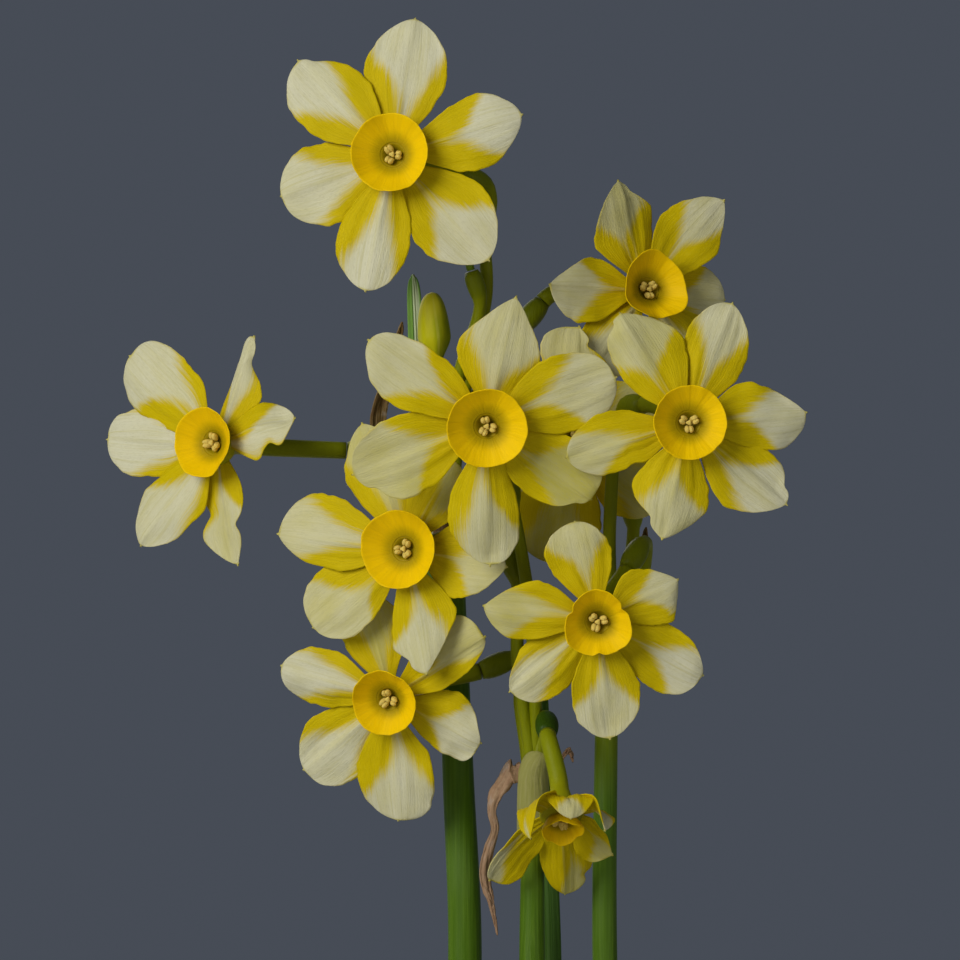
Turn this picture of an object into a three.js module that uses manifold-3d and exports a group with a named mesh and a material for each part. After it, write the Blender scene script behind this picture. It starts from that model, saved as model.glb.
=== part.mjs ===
import * as THREE from 'three';
import { mergeVertices } from 'three/addons/utils/BufferGeometryUtils.js';
import Module from 'manifold-3d';

// A potted daffodil of the kind with several small-cupped flowers on each stem. Three bulbs stand in
// a clay pot and carry three flower stems, ten open flowers, two buds, two tall leaves and ten low
// ones. Millimetres, +Z up. The origin is the middle of the pot's underside, and most of the flowers
// look along -Y.

const wasm = await Module();
wasm.setup();

// Driving dimensions
const CLEAR = 0.3;
const POT = { height: 115, rimRadius: 72, rimDepth: 24, rimStep: 4, bodyRadius: 66, footRadius: 50,
  wall: 5, floor: 9, holeRadius: 5, holeCircle: 24, holes: 3, sides: 24 };
const SOIL = { top: 103, lump: 1.4, sides: 24, seed: 7 };
const BULB = { radius: 16, depth: 50, neck: 7.4, neckRise: 5, well: 6.4, wellDepth: 9, sides: 12 };
const TEPAL = { thick: 0.7, root: 3.4, foot: 2.1, nearTip: 0.91, whorl: 0.6, bow: 0.22 };
const BOSS = { radius: 5, top: 1.1, throat: 2.7, throatDepth: 0.4, tubeEnd: 8, sides: 10 };
const TUBE = { radius: 1.95, sides: 7, steps: 6 };
const CUP = { foot: 1.4, mouth: 2.9, wall: 0.62, sides: 15 };
const OVARY = { radius: 2.75, length: 9, end: 2, stalk: 1.5, inBud: 0.8 };
const LEAF = { thick: 1.1, start: 5.25, rootHalf: 2, rootBow: 0.42 };
const PAPER = 0.6;
const WRAP = 2.1;

const rad = THREE.MathUtils.degToRad;
const vec = (list) => new THREE.Vector3(...list);

// The bulbs stand in a triangle. Each one's flower stem leads to the node that its flowers leave from.
const STEMS = [
  { name: 'stem_01', bulb: [-22, 10], foot: 4.3, top: 3,
    route: [[-20.5, 11, 150], [-17.3, 12, 212], [-18.9, 12, 256], [-21.2, 12, 318.8]] },
  { name: 'stem_02', bulb: [0, -16], foot: 3.9, top: 2.45,
    route: [[-0.8, -11, 145], [-1.8, -1, 213], [-1.6, -1, 249.8]] },
  { name: 'stem_03', bulb: [20, 12], foot: 3.1, top: 2.6,
    route: [[17.5, 8, 150], [15, 4, 213], [15.4, 4, 272.7]] },
];

// The open flowers. `at` is the middle of the ring of tepals; the flower looks `yaw` degrees to the
// right and `pitch` degrees up. `cup` is the cup's rim radius, height, number of lobes, their depth
// and their turn. Each tepal is its direction in degrees, length, rise at the root, further rise by
// the tip and twist, and then its left and right edge: the greatest half width, how far along that
// is, and the share of it that is left near the tip. Tepals of odd number are the inner whorl.
// `ovary` is where the ovary ends and the tube starts, `aim` the way it points, and `via` the
// stalk's way to it.
const FLOWERS = [
  { name: 'bloom_01', stem: 0, at: [-33.4, -15, 397.2], yaw: -9, pitch: 5, cup: [9.15, 5.6, 6, 0.02, 0],
    tepals: [
      [83, 32.5, -2, -6, 0, [9.7, 0.56, 0.47], [9.4, 0.53, 0.46]],
      [135.6, 32.5, -2, -8, 0, [10, 0.57, 0.61], [8.2, 0.54, 0.34]],
      [198.2, 28.2, -3, -6, 0, [10.2, 0.59, 0.58], [9, 0.6, 0.53]],
      [258, 31.8, -2, -8, 4, [8, 0.57, 0.52], [9.2, 0.61, 0.56]],
      [312.5, 32.5, -3, -6, 0, [10.2, 0.55, 0.47], [9.8, 0.57, 0.42]],
      [17.5, 31, 0, -4, 6, [7.9, 0.7, 0.52], [9.3, 0.56, 0.4]]],
    ovary: [-18.3, 2.8, 394.2], aim: [-0.75, -0.45, 0.48],
    via: [[-17, 10.5, 346], [-12.4, 8.5, 366], [-12.6, 8, 379]] },
  { name: 'bloom_02', stem: 0, at: [24.2, 6, 366.9], yaw: 25, pitch: 12, cup: [8.1, 5.8, 3, 0.07, 90],
    tepals: [
      [98, 27, 2, -4, 10, [9.7, 0.42, 0.26], [7.4, 0.72, 0.35]],
      [177, 24.5, -3, 6, 0, [8.5, 0.58, 0.52], [7.4, 0.45, 0.22]],
      [232, 25, -3, -4, 0, [7.5, 0.56, 0.45], [7.5, 0.56, 0.45]],
      [301, 25.5, -3, -6, 0, [7.5, 0.56, 0.45], [7.5, 0.56, 0.45]],
      [357, 22, -2, -8, 0, [7.5, 0.6, 0.58], [7.5, 0.6, 0.55]],
      [46, 29.5, 6, 12, -8, [8.5, 0.51, 0.41], [7, 0.6, 0.3]]],
    ovary: [0.6, 12, 364.6], aim: [0.62, 0.1, 0.78],
    via: [[-18, 12, 338], [-9, 12.4, 350]] },
  { name: 'bloom_03', stem: 0, at: [-73.8, -6, 331.8], yaw: -36, pitch: 3, cup: [8.2, 5.8, 6, 0.02, 0],
    tepals: [
      [72.8, 26, -2, -6, 20, [2.2, 0.4, 0.77], [6.8, 0.45, 0.2]],
      [145, 36.4, -3, -8, 0, [8.6, 0.69, 0.78], [8.9, 0.35, 0.68]],
      [178, 36.2, -2, -8, 0, [8.6, 0.56, 0.59], [8, 0.59, 0.6]],
      [225, 33.6, -3, -6, 0, [7.7, 0.36, 0.36], [8.2, 0.67, 0.66]],
      [277, 28.4, -4, -12, 12, [5, 0.3, 0.22], [9.3, 0.67, 0.46]],
      [15.2, 22.2, 0, -10, -34, [6.8, 0.56, 0.38], [7.2, 0.48, 0.46]]],
    ovary: [-44.5, 8, 330.2], aim: [-0.99, -0.1, 0.04],
    via: [[-25, 12, 327.5]] },
  { name: 'bloom_04', stem: 1, at: [-12.3, -41, 335.8], yaw: 0, pitch: -10, cup: [9.2, 5.4, 6, 0.02, 0],
    tepals: [
      [77, 29.5, -2, -4, 0, [10.4, 0.49, 0.25], [9.3, 0.43, 0.22]],
      [144.5, 32.8, -2, -6, 0, [8.7, 0.63, 0.5], [6.6, 0.42, 0.58]],
      [201.6, 32.6, -3, -4, 0, [9.6, 0.62, 0.46], [9.1, 0.48, 0.56]],
      [271.4, 32.9, -4, -2, 0, [6.8, 0.65, 0.7], [9.3, 0.61, 0.5]],
      [323.5, 29.5, 2, -12, 0, [9.4, 0.65, 0.72], [7.3, 0.43, 0.48]],
      [20, 31, -3, -2, 0, [9.2, 0.48, 0.63], [8.5, 0.6, 0.58]]],
    ovary: [-8.2, -19, 325], aim: [-0.2, -0.5, 0.84],
    via: [[-0.9, -1.1, 260], [-2.2, -10, 292]] },
  { name: 'bloom_05', stem: 2, at: [32.7, -40, 336.2], yaw: 5, pitch: 0, cup: [8.5, 5.2, 5, 0.02, 30],
    tepals: [
      [69, 29, -2, -2, 0, [7.4, 0.61, 0.55], [7.7, 0.53, 0.41]],
      [121.9, 29, -2, 2, 0, [7.2, 0.49, 0.62], [9.3, 0.56, 0.32]],
      [196, 28.5, -3, 4, 0, [6.6, 0.46, 0.52], [7.4, 0.57, 0.5]],
      [258, 27, -3, -4, 0, [8.7, 0.62, 0.33], [9.1, 0.54, 0.3]],
      [321, 29.4, -2, -6, 0, [7, 0.47, 0.46], [9, 0.58, 0.38]],
      [5, 27.5, -2, -8, 0, [8, 0.44, 0.24], [7.8, 0.65, 0.62]]],
    ovary: [23.2, -18.5, 340.4], aim: [0.5, -0.84, 0.16],
    via: [[16.6, 1.2, 283], [15.9, -8.6, 314]] },
  { name: 'bloom_06', stem: 1, at: [-30.3, -20, 307.8], yaw: -21, pitch: 0, cup: [9.2, 5.8, 6, 0.02, 20],
    tepals: [
      [112.8, 31.2, -2, -4, 0, [8.5, 0.62, 0.42], [8.3, 0.48, 0.35]],
      [174.3, 33.3, -2, -6, 0, [6.7, 0.45, 0.4], [10.4, 0.61, 0.58]],
      [216.7, 30.8, -2, -6, 0, [7.9, 0.62, 0.57], [9.1, 0.7, 0.7]],
      [279, 29, -3, 0, 0, [9.2, 0.5, 0.2], [7.6, 0.73, 0.48]],
      [350.2, 24, -2, -2, 0, [8.5, 0.46, 0.35], [9.2, 0.46, 0.3]],
      [62, 23, -3, -14, 0, [6.2, 0.55, 0.45], [6.5, 0.5, 0.55]]],
    ovary: [-8, -8.6, 308.6], aim: [-0.3, -0.12, 0.95],
    via: [[-2.2, -1.2, 260], [-5.2, -5.4, 282]] },
  { name: 'bloom_07', stem: 1, at: [-34.2, -8, 273.9], yaw: -17, pitch: -14, cup: [7.8, 5.6, 5, 0.03, 0],
    tepals: [
      [103, 25, -3, -8, 0, [8.3, 0.55, 0.41], [7.2, 0.55, 0.47]],
      [166, 27.5, -3, -6, 0, [7, 0.56, 0.7], [7, 0.52, 0.47]],
      [218.5, 30.5, -3, -6, 0, [9.2, 0.65, 0.68], [7.9, 0.64, 0.47]],
      [268, 30.5, -3, -4, 0, [9.3, 0.57, 0.74], [9.1, 0.58, 0.6]],
      [329.7, 23.3, -3, -6, 0, [8.7, 0.56, 0.3], [6.4, 0.6, 0.9]],
      [31.8, 29.3, 3, 6, 0, [7.7, 0.62, 0.88], [5.1, 0.42, 0.42]]],
    ovary: [-13.6, 2.4, 279.4], aim: [-0.93, -0.15, -0.25],
    via: [[-3, 0.7, 260], [-4.6, 1.6, 272]] },
  { name: 'bloom_08', stem: 2, at: [12.7, -30, 291.9], yaw: 0, pitch: -10, cup: [7.7, 5.2, 3, 0.06, 213],
    tepals: [
      [103, 23, -3, 0, 0, [8.5, 0.67, 0.62], [6.5, 0.6, 0.54]],
      [173.2, 26.1, -2, -4, 0, [6.8, 0.65, 0.5], [7.4, 0.47, 0.25]],
      [221, 26.5, -3, -4, 0, [7.5, 0.56, 0.61], [6, 0.58, 0.37]],
      [276, 28, -2, -4, 0, [7.9, 0.56, 0.51], [7.7, 0.56, 0.58]],
      [331, 27.5, -3, -2, 0, [6.9, 0.52, 0.42], [8.2, 0.67, 0.68]],
      [26, 20.5, -2, -14, 0, [7.1, 0.46, 0.26], [8, 0.73, 0.36]]],
    ovary: [19.8, -12.4, 303], aim: [-0.42, -0.6, -0.68],
    via: [[16.8, 4.8, 283], [22.6, 3.4, 296], [24.4, -2.4, 308]] },
  { name: 'bloom_09', stem: 1, at: [4.6, -22, 247.7], yaw: 5, pitch: -55, cup: [4.9, 4.8, 3, 0.08, 30],
    tepals: [
      [84, 16.5, -20, 145, 0, [5.4, 0.5, 0.45], [5.4, 0.5, 0.45]],
      [137, 20.8, -18, 145, 12, [3.4, 0.45, 0.3], [6.6, 0.4, 0.2]],
      [232, 26, 0, 32, 0, [6.2, 0.65, 0.88], [3.3, 0.3, 0.6]],
      [276, 28, 0, 18, 0, [6.5, 0.65, 0.66], [5.3, 0.56, 0.51]],
      [317, 18, 2, 34, 0, [3.5, 0.3, 0.2], [6.5, 0.8, 0.88]],
      [33, 16.6, -18, 128, 0, [5.6, 0.48, 0.3], [4, 0.5, 0.3]]],
    ovary: [1.6, -11.6, 265.4], aim: [0.05, -0.93, -0.36],
    via: [[-0.6, -2.2, 257], [0, -1.8, 263]] },
  { name: 'bloom_10', stem: 2, at: [7.9, -6, 332.5], yaw: 0, pitch: 0, cup: [8.6, 5.6, 6, 0.02, 0],
    tepals: [
      [87.7, 26.4, -2, -6, 0, [8.5, 0.7, 0.86], [7.9, 0.54, 0.22]],
      [148, 24, -2, -6, 0, [7.5, 0.56, 0.45], [7.5, 0.56, 0.45]],
      [208, 24, -2, -6, 0, [7.5, 0.56, 0.45], [7.5, 0.56, 0.45]],
      [258, 29, -2, -2, 0, [10, 0.6, 0.58], [10.2, 0.57, 0.59]],
      [322, 25, -2, 0, 0, [8, 0.56, 0.5], [8, 0.6, 0.58]],
      [30, 22, -3, -16, 0, [7, 0.56, 0.45], [7, 0.56, 0.45]]],
    ovary: [20.7, 5, 321.4], aim: [-0.1, 0.1, 0.98],
    via: [[15.6, 5.6, 283], [20, 5.6, 300]] },
];

// The buds: where the bud's tube starts, the way it points, its length, its radius and the share of its
// length that is swollen.
const BUDS = [
  { name: 'bud_01', stem: 0, ovary: [-23.4, 7.5, 341], aim: [-0.06, -0.06, 1], length: 25.6, radius: 3.5,
    via: [[-22.6, 10.4, 330]], swell: 0.66 },
  { name: 'bud_02', stem: 0, ovary: [-15.8, 3.4, 371.5], aim: [-0.28, -0.12, 0.95], length: 15, radius: 2.2,
    via: [[-19, 9.4, 346], [-14.2, 5, 361]], swell: 0.7 },
];

// The two tall leaves: the way each is seen across, its route from the bulb's neck and its half width.
const TALL_LEAVES = [
  { name: 'leaf_01', bulb: 0, out: 82, half: 3.3, tip: 0.5,
    route: [[-20.4, 18.6, 150], [-18, 20, 213], [-18.6, 20.4, 262], [-26.4, 22, 318], [-29.4, 21, 371]] },
  { name: 'leaf_02', bulb: 1, out: 80, half: 3.3, tip: 0.55,
    route: [[1.4, -2.6, 150], [2.2, 9, 213], [0.2, 11.4, 262], [-1, 12, 292]] },
];

// The low leaves arch out over the rim: bulb, direction, reach, top height, tip height, half width.
const LOW_LEAVES = [
  [0, 142, 74, 196, 150, 3.4], [0, 201, 66, 182, 128, 3], [0, 260, 58, 190, 160, 3.2],
  [1, 224, 78, 186, 134, 3.3], [1, 282, 62, 196, 158, 3], [1, 340, 84, 178, 124, 3.4],
  [2, 326, 60, 190, 148, 3.2], [2, 26, 76, 184, 130, 3.4], [2, 88, 64, 196, 160, 3],
  [2, 150, 58, 180, 150, 3],
];

// The papery bracts that the flowers came out of: where the wrap round the stem ends, the side of the
// stem that its middle lies on, how far down it starts, how it closes (the powers by which its width
// and its bend shrink), and the twist and the route of its tail.
const BRACTS = [
  { axis: [-21.2, 12, 322], lean: 0.6, radius: 3.95, turnFrom: 150, bottom: 309, half: 2.4, close: 0.42,
    hug: [0.5, 1], twist: -30,
    tail: [[-33, 15.4, 328], [-37.6, 16.4, 336], [-35, 15.6, 348], [-31.9, 14.4, 360]] },
  { axis: [-1.6, -1, 252], lean: 0, radius: 3.6, turnFrom: 270, bottom: 241, half: 1, close: 1,
    hug: [0.4, 0.4], twist: 0, tail: [[-1.4, -4.95, 256.5], [0.2, -5.3, 260.8]] },
  { axis: [15.4, 4, 276], lean: 0, radius: 3.3, turnFrom: 60, bottom: 267, half: 2, close: 0.4,
    hug: [0.5, 1], twist: 0,
    tail: [[18.4, 9.4, 284], [22.4, 11, 297], [24.2, 9.6, 306], [24.6, 7.6, 312.4]] },
];

// The dry strip that hangs from the second bract, and a small curl behind it
const HANGING = { half: 2.1, side: [1, 0, 0.2], route: [[-4.9, -1.8, 254], [-6.3, -1.5, 257.6],
  [-8.4, -1.7, 254.4], [-10.6, -2, 251], [-11.2, -2.2, 247.4], [-10.4, -2.3, 243.2], [-11.5, -2.4, 239],
  [-12.3, -2.4, 234.6], [-12.1, -2.4, 230.6], [-11.2, -2.5, 227], [-9.8, -2.6, 219]] };
const CURL = { half: 0.8, side: [0.8, 0, -0.6], route: [[1.85, -0.4, 246], [3, 1.2, 253], [5.2, 1.6, 259.5],
  [7, 1.2, 261.2], [7.6, 0.8, 258.6]] };

// A small random source with a fixed seed
function randomSource(seed) {
  let state = seed;
  return () => {
    state = (state * 1664525 + 1013904223) % 4294967296;
    return state / 4294967296;
  };
}

// Welds a geometry into one closed surface whose faces point outwards.
function closed(geometry) {
  geometry.deleteAttribute('normal');
  geometry.deleteAttribute('uv');
  const welded = mergeVertices(geometry, 1e-4);
  const place = welded.attributes.position;
  const corners = welded.index.array;
  const kept = [];
  let volume = 0;
  const [a, b, c] = [new THREE.Vector3(), new THREE.Vector3(), new THREE.Vector3()];
  for (let i = 0; i < corners.length; i += 3) {
    const [p, q, r] = corners.slice(i, i + 3);
    if (p === q || q === r || r === p) continue;
    a.fromBufferAttribute(place, p);
    b.fromBufferAttribute(place, q);
    c.fromBufferAttribute(place, r);
    volume += a.dot(b.cross(c));
    kept.push(p, q, r);
  }
  if (volume < 0) kept.reverse();
  welded.setIndex(kept);
  return welded;
}

function solid(geometry) {
  const mesh = { numProp: 3, vertProperties: new Float32Array(geometry.attributes.position.array),
    triVerts: new Uint32Array(geometry.index.array) };
  return new wasm.Manifold(new wasm.Mesh(mesh));
}

function surface(body) {
  const mesh = body.getMesh();
  const geometry = new THREE.BufferGeometry();
  geometry.setAttribute('position', new THREE.Float32BufferAttribute(mesh.vertProperties, 3));
  geometry.setIndex([...mesh.triVerts]);
  return geometry;
}

const join = (geometries) => surface(geometries.map(solid).reduce((whole, next) => whole.add(next)));

// A closed round stalk along a curve; radiusAt gives its radius for a place from 0 to 1 along it.
function stalk(curve, radiusAt, steps, sides) {
  const profile = [new THREE.Vector2(0, 0)];
  for (let i = 0; i <= steps; i++) profile.push(new THREE.Vector2(radiusAt(i / steps), i / steps));
  profile.push(new THREE.Vector2(0, 1));
  const geometry = new THREE.LatheGeometry(profile, sides);
  const frames = curve.computeFrenetFrames(steps, false);
  const place = geometry.attributes.position;
  for (let i = 0; i < place.count; i++) {
    const along = place.getY(i);
    const step = Math.round(along * steps);
    const point = curve.getPointAt(along);
    point.addScaledVector(frames.normals[step], place.getX(i));
    point.addScaledVector(frames.binormals[step], place.getZ(i));
    place.setXYZ(i, point.x, point.y, point.z);
  }
  return closed(geometry);
}

// A thin blade along a spine, `side` being the way across it. Its shape is given by functions of the
// place along it: the half width, which may differ between the sides, the angle that its section
// bends through from the middle to an edge, and the twist. Both faces have the same triangles.
function ribbon(spine, side, { half, bow, turn = () => 0, thick, cells, rows }) {
  const count = (cells + 1) * (rows + 1);
  const points = new Float32Array(count * 6);
  for (let j = 0; j <= rows; j++) {
    const s = Math.sin((Math.PI / 2) * (j / rows));
    const middle = spine.getPoint(s);
    const tangent = spine.getTangent(s);
    const across = side.clone().addScaledVector(tangent, -side.dot(tangent)).normalize();
    across.applyAxisAngle(tangent, turn(s));
    const inward = across.clone().cross(tangent);
    for (let i = 0; i <= cells; i++) {
      const u = (2 * i) / cells - 1;
      const width = half(s, u);
      const bend = width > 0.01 ? bow(s) : 0;
      const angle = u * bend;
      const reach = Math.abs(bend) > 0.001 ? (Math.sin(angle) * width) / bend : u * width;
      const rise = Math.abs(bend) > 0.001 ? ((1 - Math.cos(angle)) * width) / bend : 0;
      const normal = inward.clone().multiplyScalar(Math.cos(angle)).addScaledVector(across, -Math.sin(angle));
      const point = middle.clone().addScaledVector(across, reach);
      point.addScaledVector(inward, rise);
      const index = j * (cells + 1) + i;
      point.clone().addScaledVector(normal, thick / 2).toArray(points, index * 3);
      point.clone().addScaledVector(normal, -thick / 2).toArray(points, (count + index) * 3);
    }
  }
  const faces = [];
  const at = (i, j) => j * (cells + 1) + i;
  for (let j = 0; j < rows; j++) {
    for (let i = 0; i < cells; i++) {
      const [a, b, c, d] = [at(i, j), at(i + 1, j), at(i + 1, j + 1), at(i, j + 1)];
      const split = i < cells / 2 ? [a, b, d, b, c, d] : [a, b, c, a, c, d];
      faces.push(...split);
      for (let k = 0; k < 6; k += 3) faces.push(split[k] + count, split[k + 2] + count, split[k + 1] + count);
    }
  }
  const rim = [];
  for (let i = 0; i < cells; i++) rim.push(at(i, 0));
  for (let j = 0; j < rows; j++) rim.push(at(cells, j));
  for (let i = cells; i > 0; i--) rim.push(at(i, rows));
  for (let j = rows; j > 0; j--) rim.push(at(0, j));
  rim.forEach((a, k) => {
    const b = rim[(k + 1) % rim.length];
    faces.push(a, a + count, b + count, a, b + count, b);
  });
  const geometry = new THREE.BufferGeometry();
  geometry.setAttribute('position', new THREE.BufferAttribute(points, 3));
  geometry.setIndex(faces);
  return closed(geometry);
}

// The middle line of a tepal: it leaves the flower's middle at an angle and bends evenly to its tip.
class TepalSpine extends THREE.Curve {
  constructor(direction, length, rise, bend, level) {
    super();
    Object.assign(this, { direction: rad(direction), reach: length - TEPAL.root, rise: rad(rise),
      bend: Math.abs(bend) < 0.1 ? 0.002 : rad(bend), level });
  }

  getPoint(t) {
    const end = this.rise + this.bend * t;
    const out = TEPAL.root + (this.reach * (Math.sin(end) - Math.sin(this.rise))) / this.bend;
    const up = this.level + (this.reach * (Math.cos(this.rise) - Math.cos(end))) / this.bend;
    return new THREE.Vector3(out * Math.cos(this.direction), out * Math.sin(this.direction), up);
  }
}

// A tepal's width to one side of its middle, at a place along it
function edgeWidth([width, widest, left], s) {
  if (s >= 1) return 0;
  if (s < widest) return TEPAL.foot + (width - TEPAL.foot) * Math.sin((Math.PI / 2) * (s / widest)) ** 1.3;
  const blunt = 1.1 - 0.9 * left;
  const share = (place) => (place - widest) / (1 - widest);
  const power = Math.log(Math.acos(left ** (1 / blunt)) / (Math.PI / 2)) / Math.log(share(TEPAL.nearTip));
  return width * Math.cos((Math.PI / 2) * share(s) ** power) ** blunt;
}

function tepal([direction, length, rise, bend, twist, left, right], number) {
  const inner = number % 2 === 1;
  const spine = new TepalSpine(direction, length, rise, bend, inner ? TEPAL.whorl : -TEPAL.whorl);
  const side = new THREE.Vector3(-Math.sin(rad(direction)), Math.cos(rad(direction)), 0);
  return ribbon(spine, side, {
    half: (s, u) => edgeWidth(u > 0 ? left : right, s),
    bow: (s) => (inner ? TEPAL.bow : -TEPAL.bow) * s * s,
    turn: (s) => rad(twist) * s,
    thick: TEPAL.thick, cells: 2, rows: 5,
  });
}

// The flower's own frame: X to the right, Y up its face, Z the way it looks.
function facing({ at, yaw, pitch }) {
  const [turn, tilt] = [rad(yaw), rad(pitch)];
  const level = Math.cos(tilt);
  const look = new THREE.Vector3(Math.sin(turn) * level, -Math.cos(turn) * level, Math.sin(tilt));
  const right = new THREE.Vector3(Math.cos(turn), Math.sin(turn), 0);
  const frame = new THREE.Matrix4().makeBasis(right, look.clone().cross(right), look);
  return frame.setPosition(vec(at));
}

// Six tepals on the flared end of the flower's tube, which is hollow at the throat only.
function perianth(flower, frame) {
  const home = frame.clone().invert();
  const start = vec(flower.ovary).addScaledVector(vec(flower.aim).normalize(), CLEAR).applyMatrix4(home);
  const aim = vec(flower.aim).transformDirection(home);
  const end = new THREE.Vector3(0, 0, 1.5 - BOSS.tubeEnd);
  const pull = start.distanceTo(end) * 0.4;
  const route = new THREE.CubicBezierCurve3(start, start.clone().addScaledVector(aim, pull),
    new THREE.Vector3(0, 0, end.z - pull), end);
  const tube = stalk(route, (s) => TUBE.radius + 0.2 * s, TUBE.steps, TUBE.sides);
  const flare = [[0, -BOSS.tubeEnd], [2.25, -BOSS.tubeEnd], [3.2, -3], [BOSS.radius, -BOSS.top],
    [BOSS.radius, BOSS.top], [BOSS.throat, BOSS.top], [0, -BOSS.throatDepth]];
  const boss = new THREE.LatheGeometry(flare.map(([r, z]) => new THREE.Vector2(r, z)), BOSS.sides);
  boss.rotateX(Math.PI / 2);
  return join([closed(boss), tube, ...flower.tepals.map(tepal)]);
}

// The cup: a shallow bowl with a wavy rim, open at its foot where it stands round the throat.
function cup([radius, height, lobes, depth, turn]) {
  const belly = CUP.mouth + (radius - CUP.mouth) * 0.55;
  const bellyHeight = CUP.foot + (height - CUP.foot) * 0.3;
  const outline = [[CUP.mouth, CUP.foot], [belly, bellyHeight], [radius, height],
    [radius - CUP.wall, height + 0.3], [belly - 0.3, bellyHeight + CUP.wall + 0.15],
    [CUP.mouth, CUP.foot + CUP.wall], [CUP.mouth, CUP.foot]];
  const bowl = new THREE.LatheGeometry(outline.map(([r, z]) => new THREE.Vector2(r, z)), CUP.sides);
  bowl.rotateX(Math.PI / 2);
  const place = bowl.attributes.position;
  for (let i = 0; i < place.count; i++) {
    const [x, y] = [place.getX(i), place.getY(i)];
    const spread = (Math.hypot(x, y) - CUP.mouth) / (radius - CUP.mouth);
    const scale = 1 + depth * spread * Math.cos(lobes * (Math.atan2(y, x) - rad(turn)));
    place.setXY(i, x * scale, y * scale);
  }
  return closed(bowl);
}

// The style in the throat, with three anthers leaning on it.
function stamens(number) {
  const [top, tip] = [3.1, CLEAR * 1.6 - BOSS.throatDepth];
  const style = new THREE.CylinderGeometry(0.55, 0.1, top - tip, 5, 1);
  style.rotateX(Math.PI / 2);
  style.translate(0, 0, (top + tip) / 2);
  const bodies = [closed(style)];
  for (let i = 0; i < 3; i++) {
    const anther = new THREE.OctahedronGeometry(1, 0);
    anther.scale(0.85, 1, 1.6);
    anther.rotateY(0.3);
    anther.translate(1.15, 0, 2.1);
    anther.rotateZ(rad(120 * i + 37 * number));
    bodies.push(closed(anther));
  }
  return join(bodies);
}

const smooth = (points) => new THREE.CatmullRomCurve3(points, false, 'centripetal');

// A flower's or bud's own stalk with its ovary at the end, from inside the top of the stem
function flowerStalk({ ovary, aim, via }, node, scale) {
  const end = vec(ovary);
  const back = vec(aim).normalize();
  const points = [vec(node).add(new THREE.Vector3(0, 0, -7)), ...via.map(vec),
    end.clone().addScaledVector(back, -OVARY.length * scale), end];
  const route = smooth(points);
  const swell = 1 - (OVARY.length * scale) / route.getLength();
  const steps = Math.round(route.getLength() / 9) + 4;
  const radius = (s) => {
    if (s >= 0.999) return OVARY.end * scale;
    const t = Math.max(0, (s - swell) / (1 - swell));
    const swollen = Math.sin(Math.PI * Math.min(1, t * 0.9)) ** 0.7;
    return OVARY.stalk + (OVARY.radius * scale - OVARY.stalk) * swollen;
  };
  return stalk(route, radius, steps, 7);
}

function flowerStem(stem, index) {
  const [x, y] = stem.bulb;
  const foot = SOIL.top - BULB.wellDepth + CLEAR;
  const route = smooth([new THREE.Vector3(x, y, foot), new THREE.Vector3(x, y, SOIL.top + 8),
    ...stem.route.map(vec)]);
  const radius = (s) => (s > 0.99 ? 0.75 * stem.top : stem.foot + (stem.top - stem.foot) * s * s);
  const bodies = [stalk(route, radius, 12, 10)];
  const node = stem.route.at(-1);
  const onStem = (one) => one.stem === index;
  for (const flower of FLOWERS.filter(onStem)) bodies.push(flowerStalk(flower, node, 1));
  for (const one of BUDS.filter(onStem)) bodies.push(flowerStalk(one, node, OVARY.inBud));
  return join(bodies);
}

function bud({ ovary, aim, length, radius, swell }) {
  const way = vec(aim).normalize();
  const start = vec(ovary).addScaledVector(way, CLEAR);
  const route = new THREE.LineCurve3(start, start.clone().addScaledVector(way, length));
  const neck = 1 - swell;
  const outline = (s) => {
    if (s < neck) return 0.42 * radius;
    const t = (s - neck) / swell;
    return radius * (0.42 + 0.7 * THREE.MathUtils.smoothstep(t, 0, 0.4)) * (1 - t ** 3.4) ** 0.45;
  };
  return stalk(route, outline, 10, 8);
}

// The width of a leaf or bract: even from its root, and rounded off at the tip
const taper = (half, root, tip) => (s) => {
  if (s >= 1) return 0;
  const widening = THREE.MathUtils.smoothstep(s, 0.1, 0.38);
  return (root + (half - root) * widening) * (1 - (1 - tip) * s ** 3) * (1 - s ** 80) ** 0.5;
};

function tallLeaf({ bulb, out, half, tip, route }) {
  const [x, y] = STEMS[bulb].bulb;
  const away = new THREE.Vector3(Math.cos(rad(out)), Math.sin(rad(out)), 0);
  const foot = new THREE.Vector3(x, y, SOIL.top - BULB.wellDepth + CLEAR).addScaledVector(away, LEAF.start);
  const collar = foot.clone().setZ(SOIL.top + 8);
  const side = new THREE.Vector3(-away.y, away.x, 0).negate();
  return ribbon(smooth([foot, collar, ...route.map(vec)]), side, {
    half: taper(half, LEAF.rootHalf, tip), bow: () => LEAF.rootBow, thick: LEAF.thick, cells: 2, rows: 14 });
}

function lowLeaf([bulb, out, reach, top, end, half], number) {
  const [x, y] = STEMS[bulb].bulb;
  const away = new THREE.Vector3(Math.cos(rad(out)), Math.sin(rad(out)), 0);
  const along = (distance, height) => new THREE.Vector3(x, y, height).addScaledVector(away, distance);
  const foot = SOIL.top - BULB.wellDepth + CLEAR;
  const route = smooth([along(LEAF.start, foot), along(LEAF.start, SOIL.top + 7),
    along(reach * 0.2, SOIL.top + (top - SOIL.top) * 0.56), along(reach * 0.46, top - 3),
    along(reach * 0.72, top - (top - end) * 0.3), along(reach, end)]);
  const side = new THREE.Vector3(-away.y, away.x, 0).negate();
  return ribbon(route, side, { half: taper(half, LEAF.rootHalf, 0.5), bow: () => LEAF.rootBow,
    turn: (s) => rad(number % 2 ? 24 : -20) * s * s, thick: LEAF.thick, cells: 2, rows: 9 });
}

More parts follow.
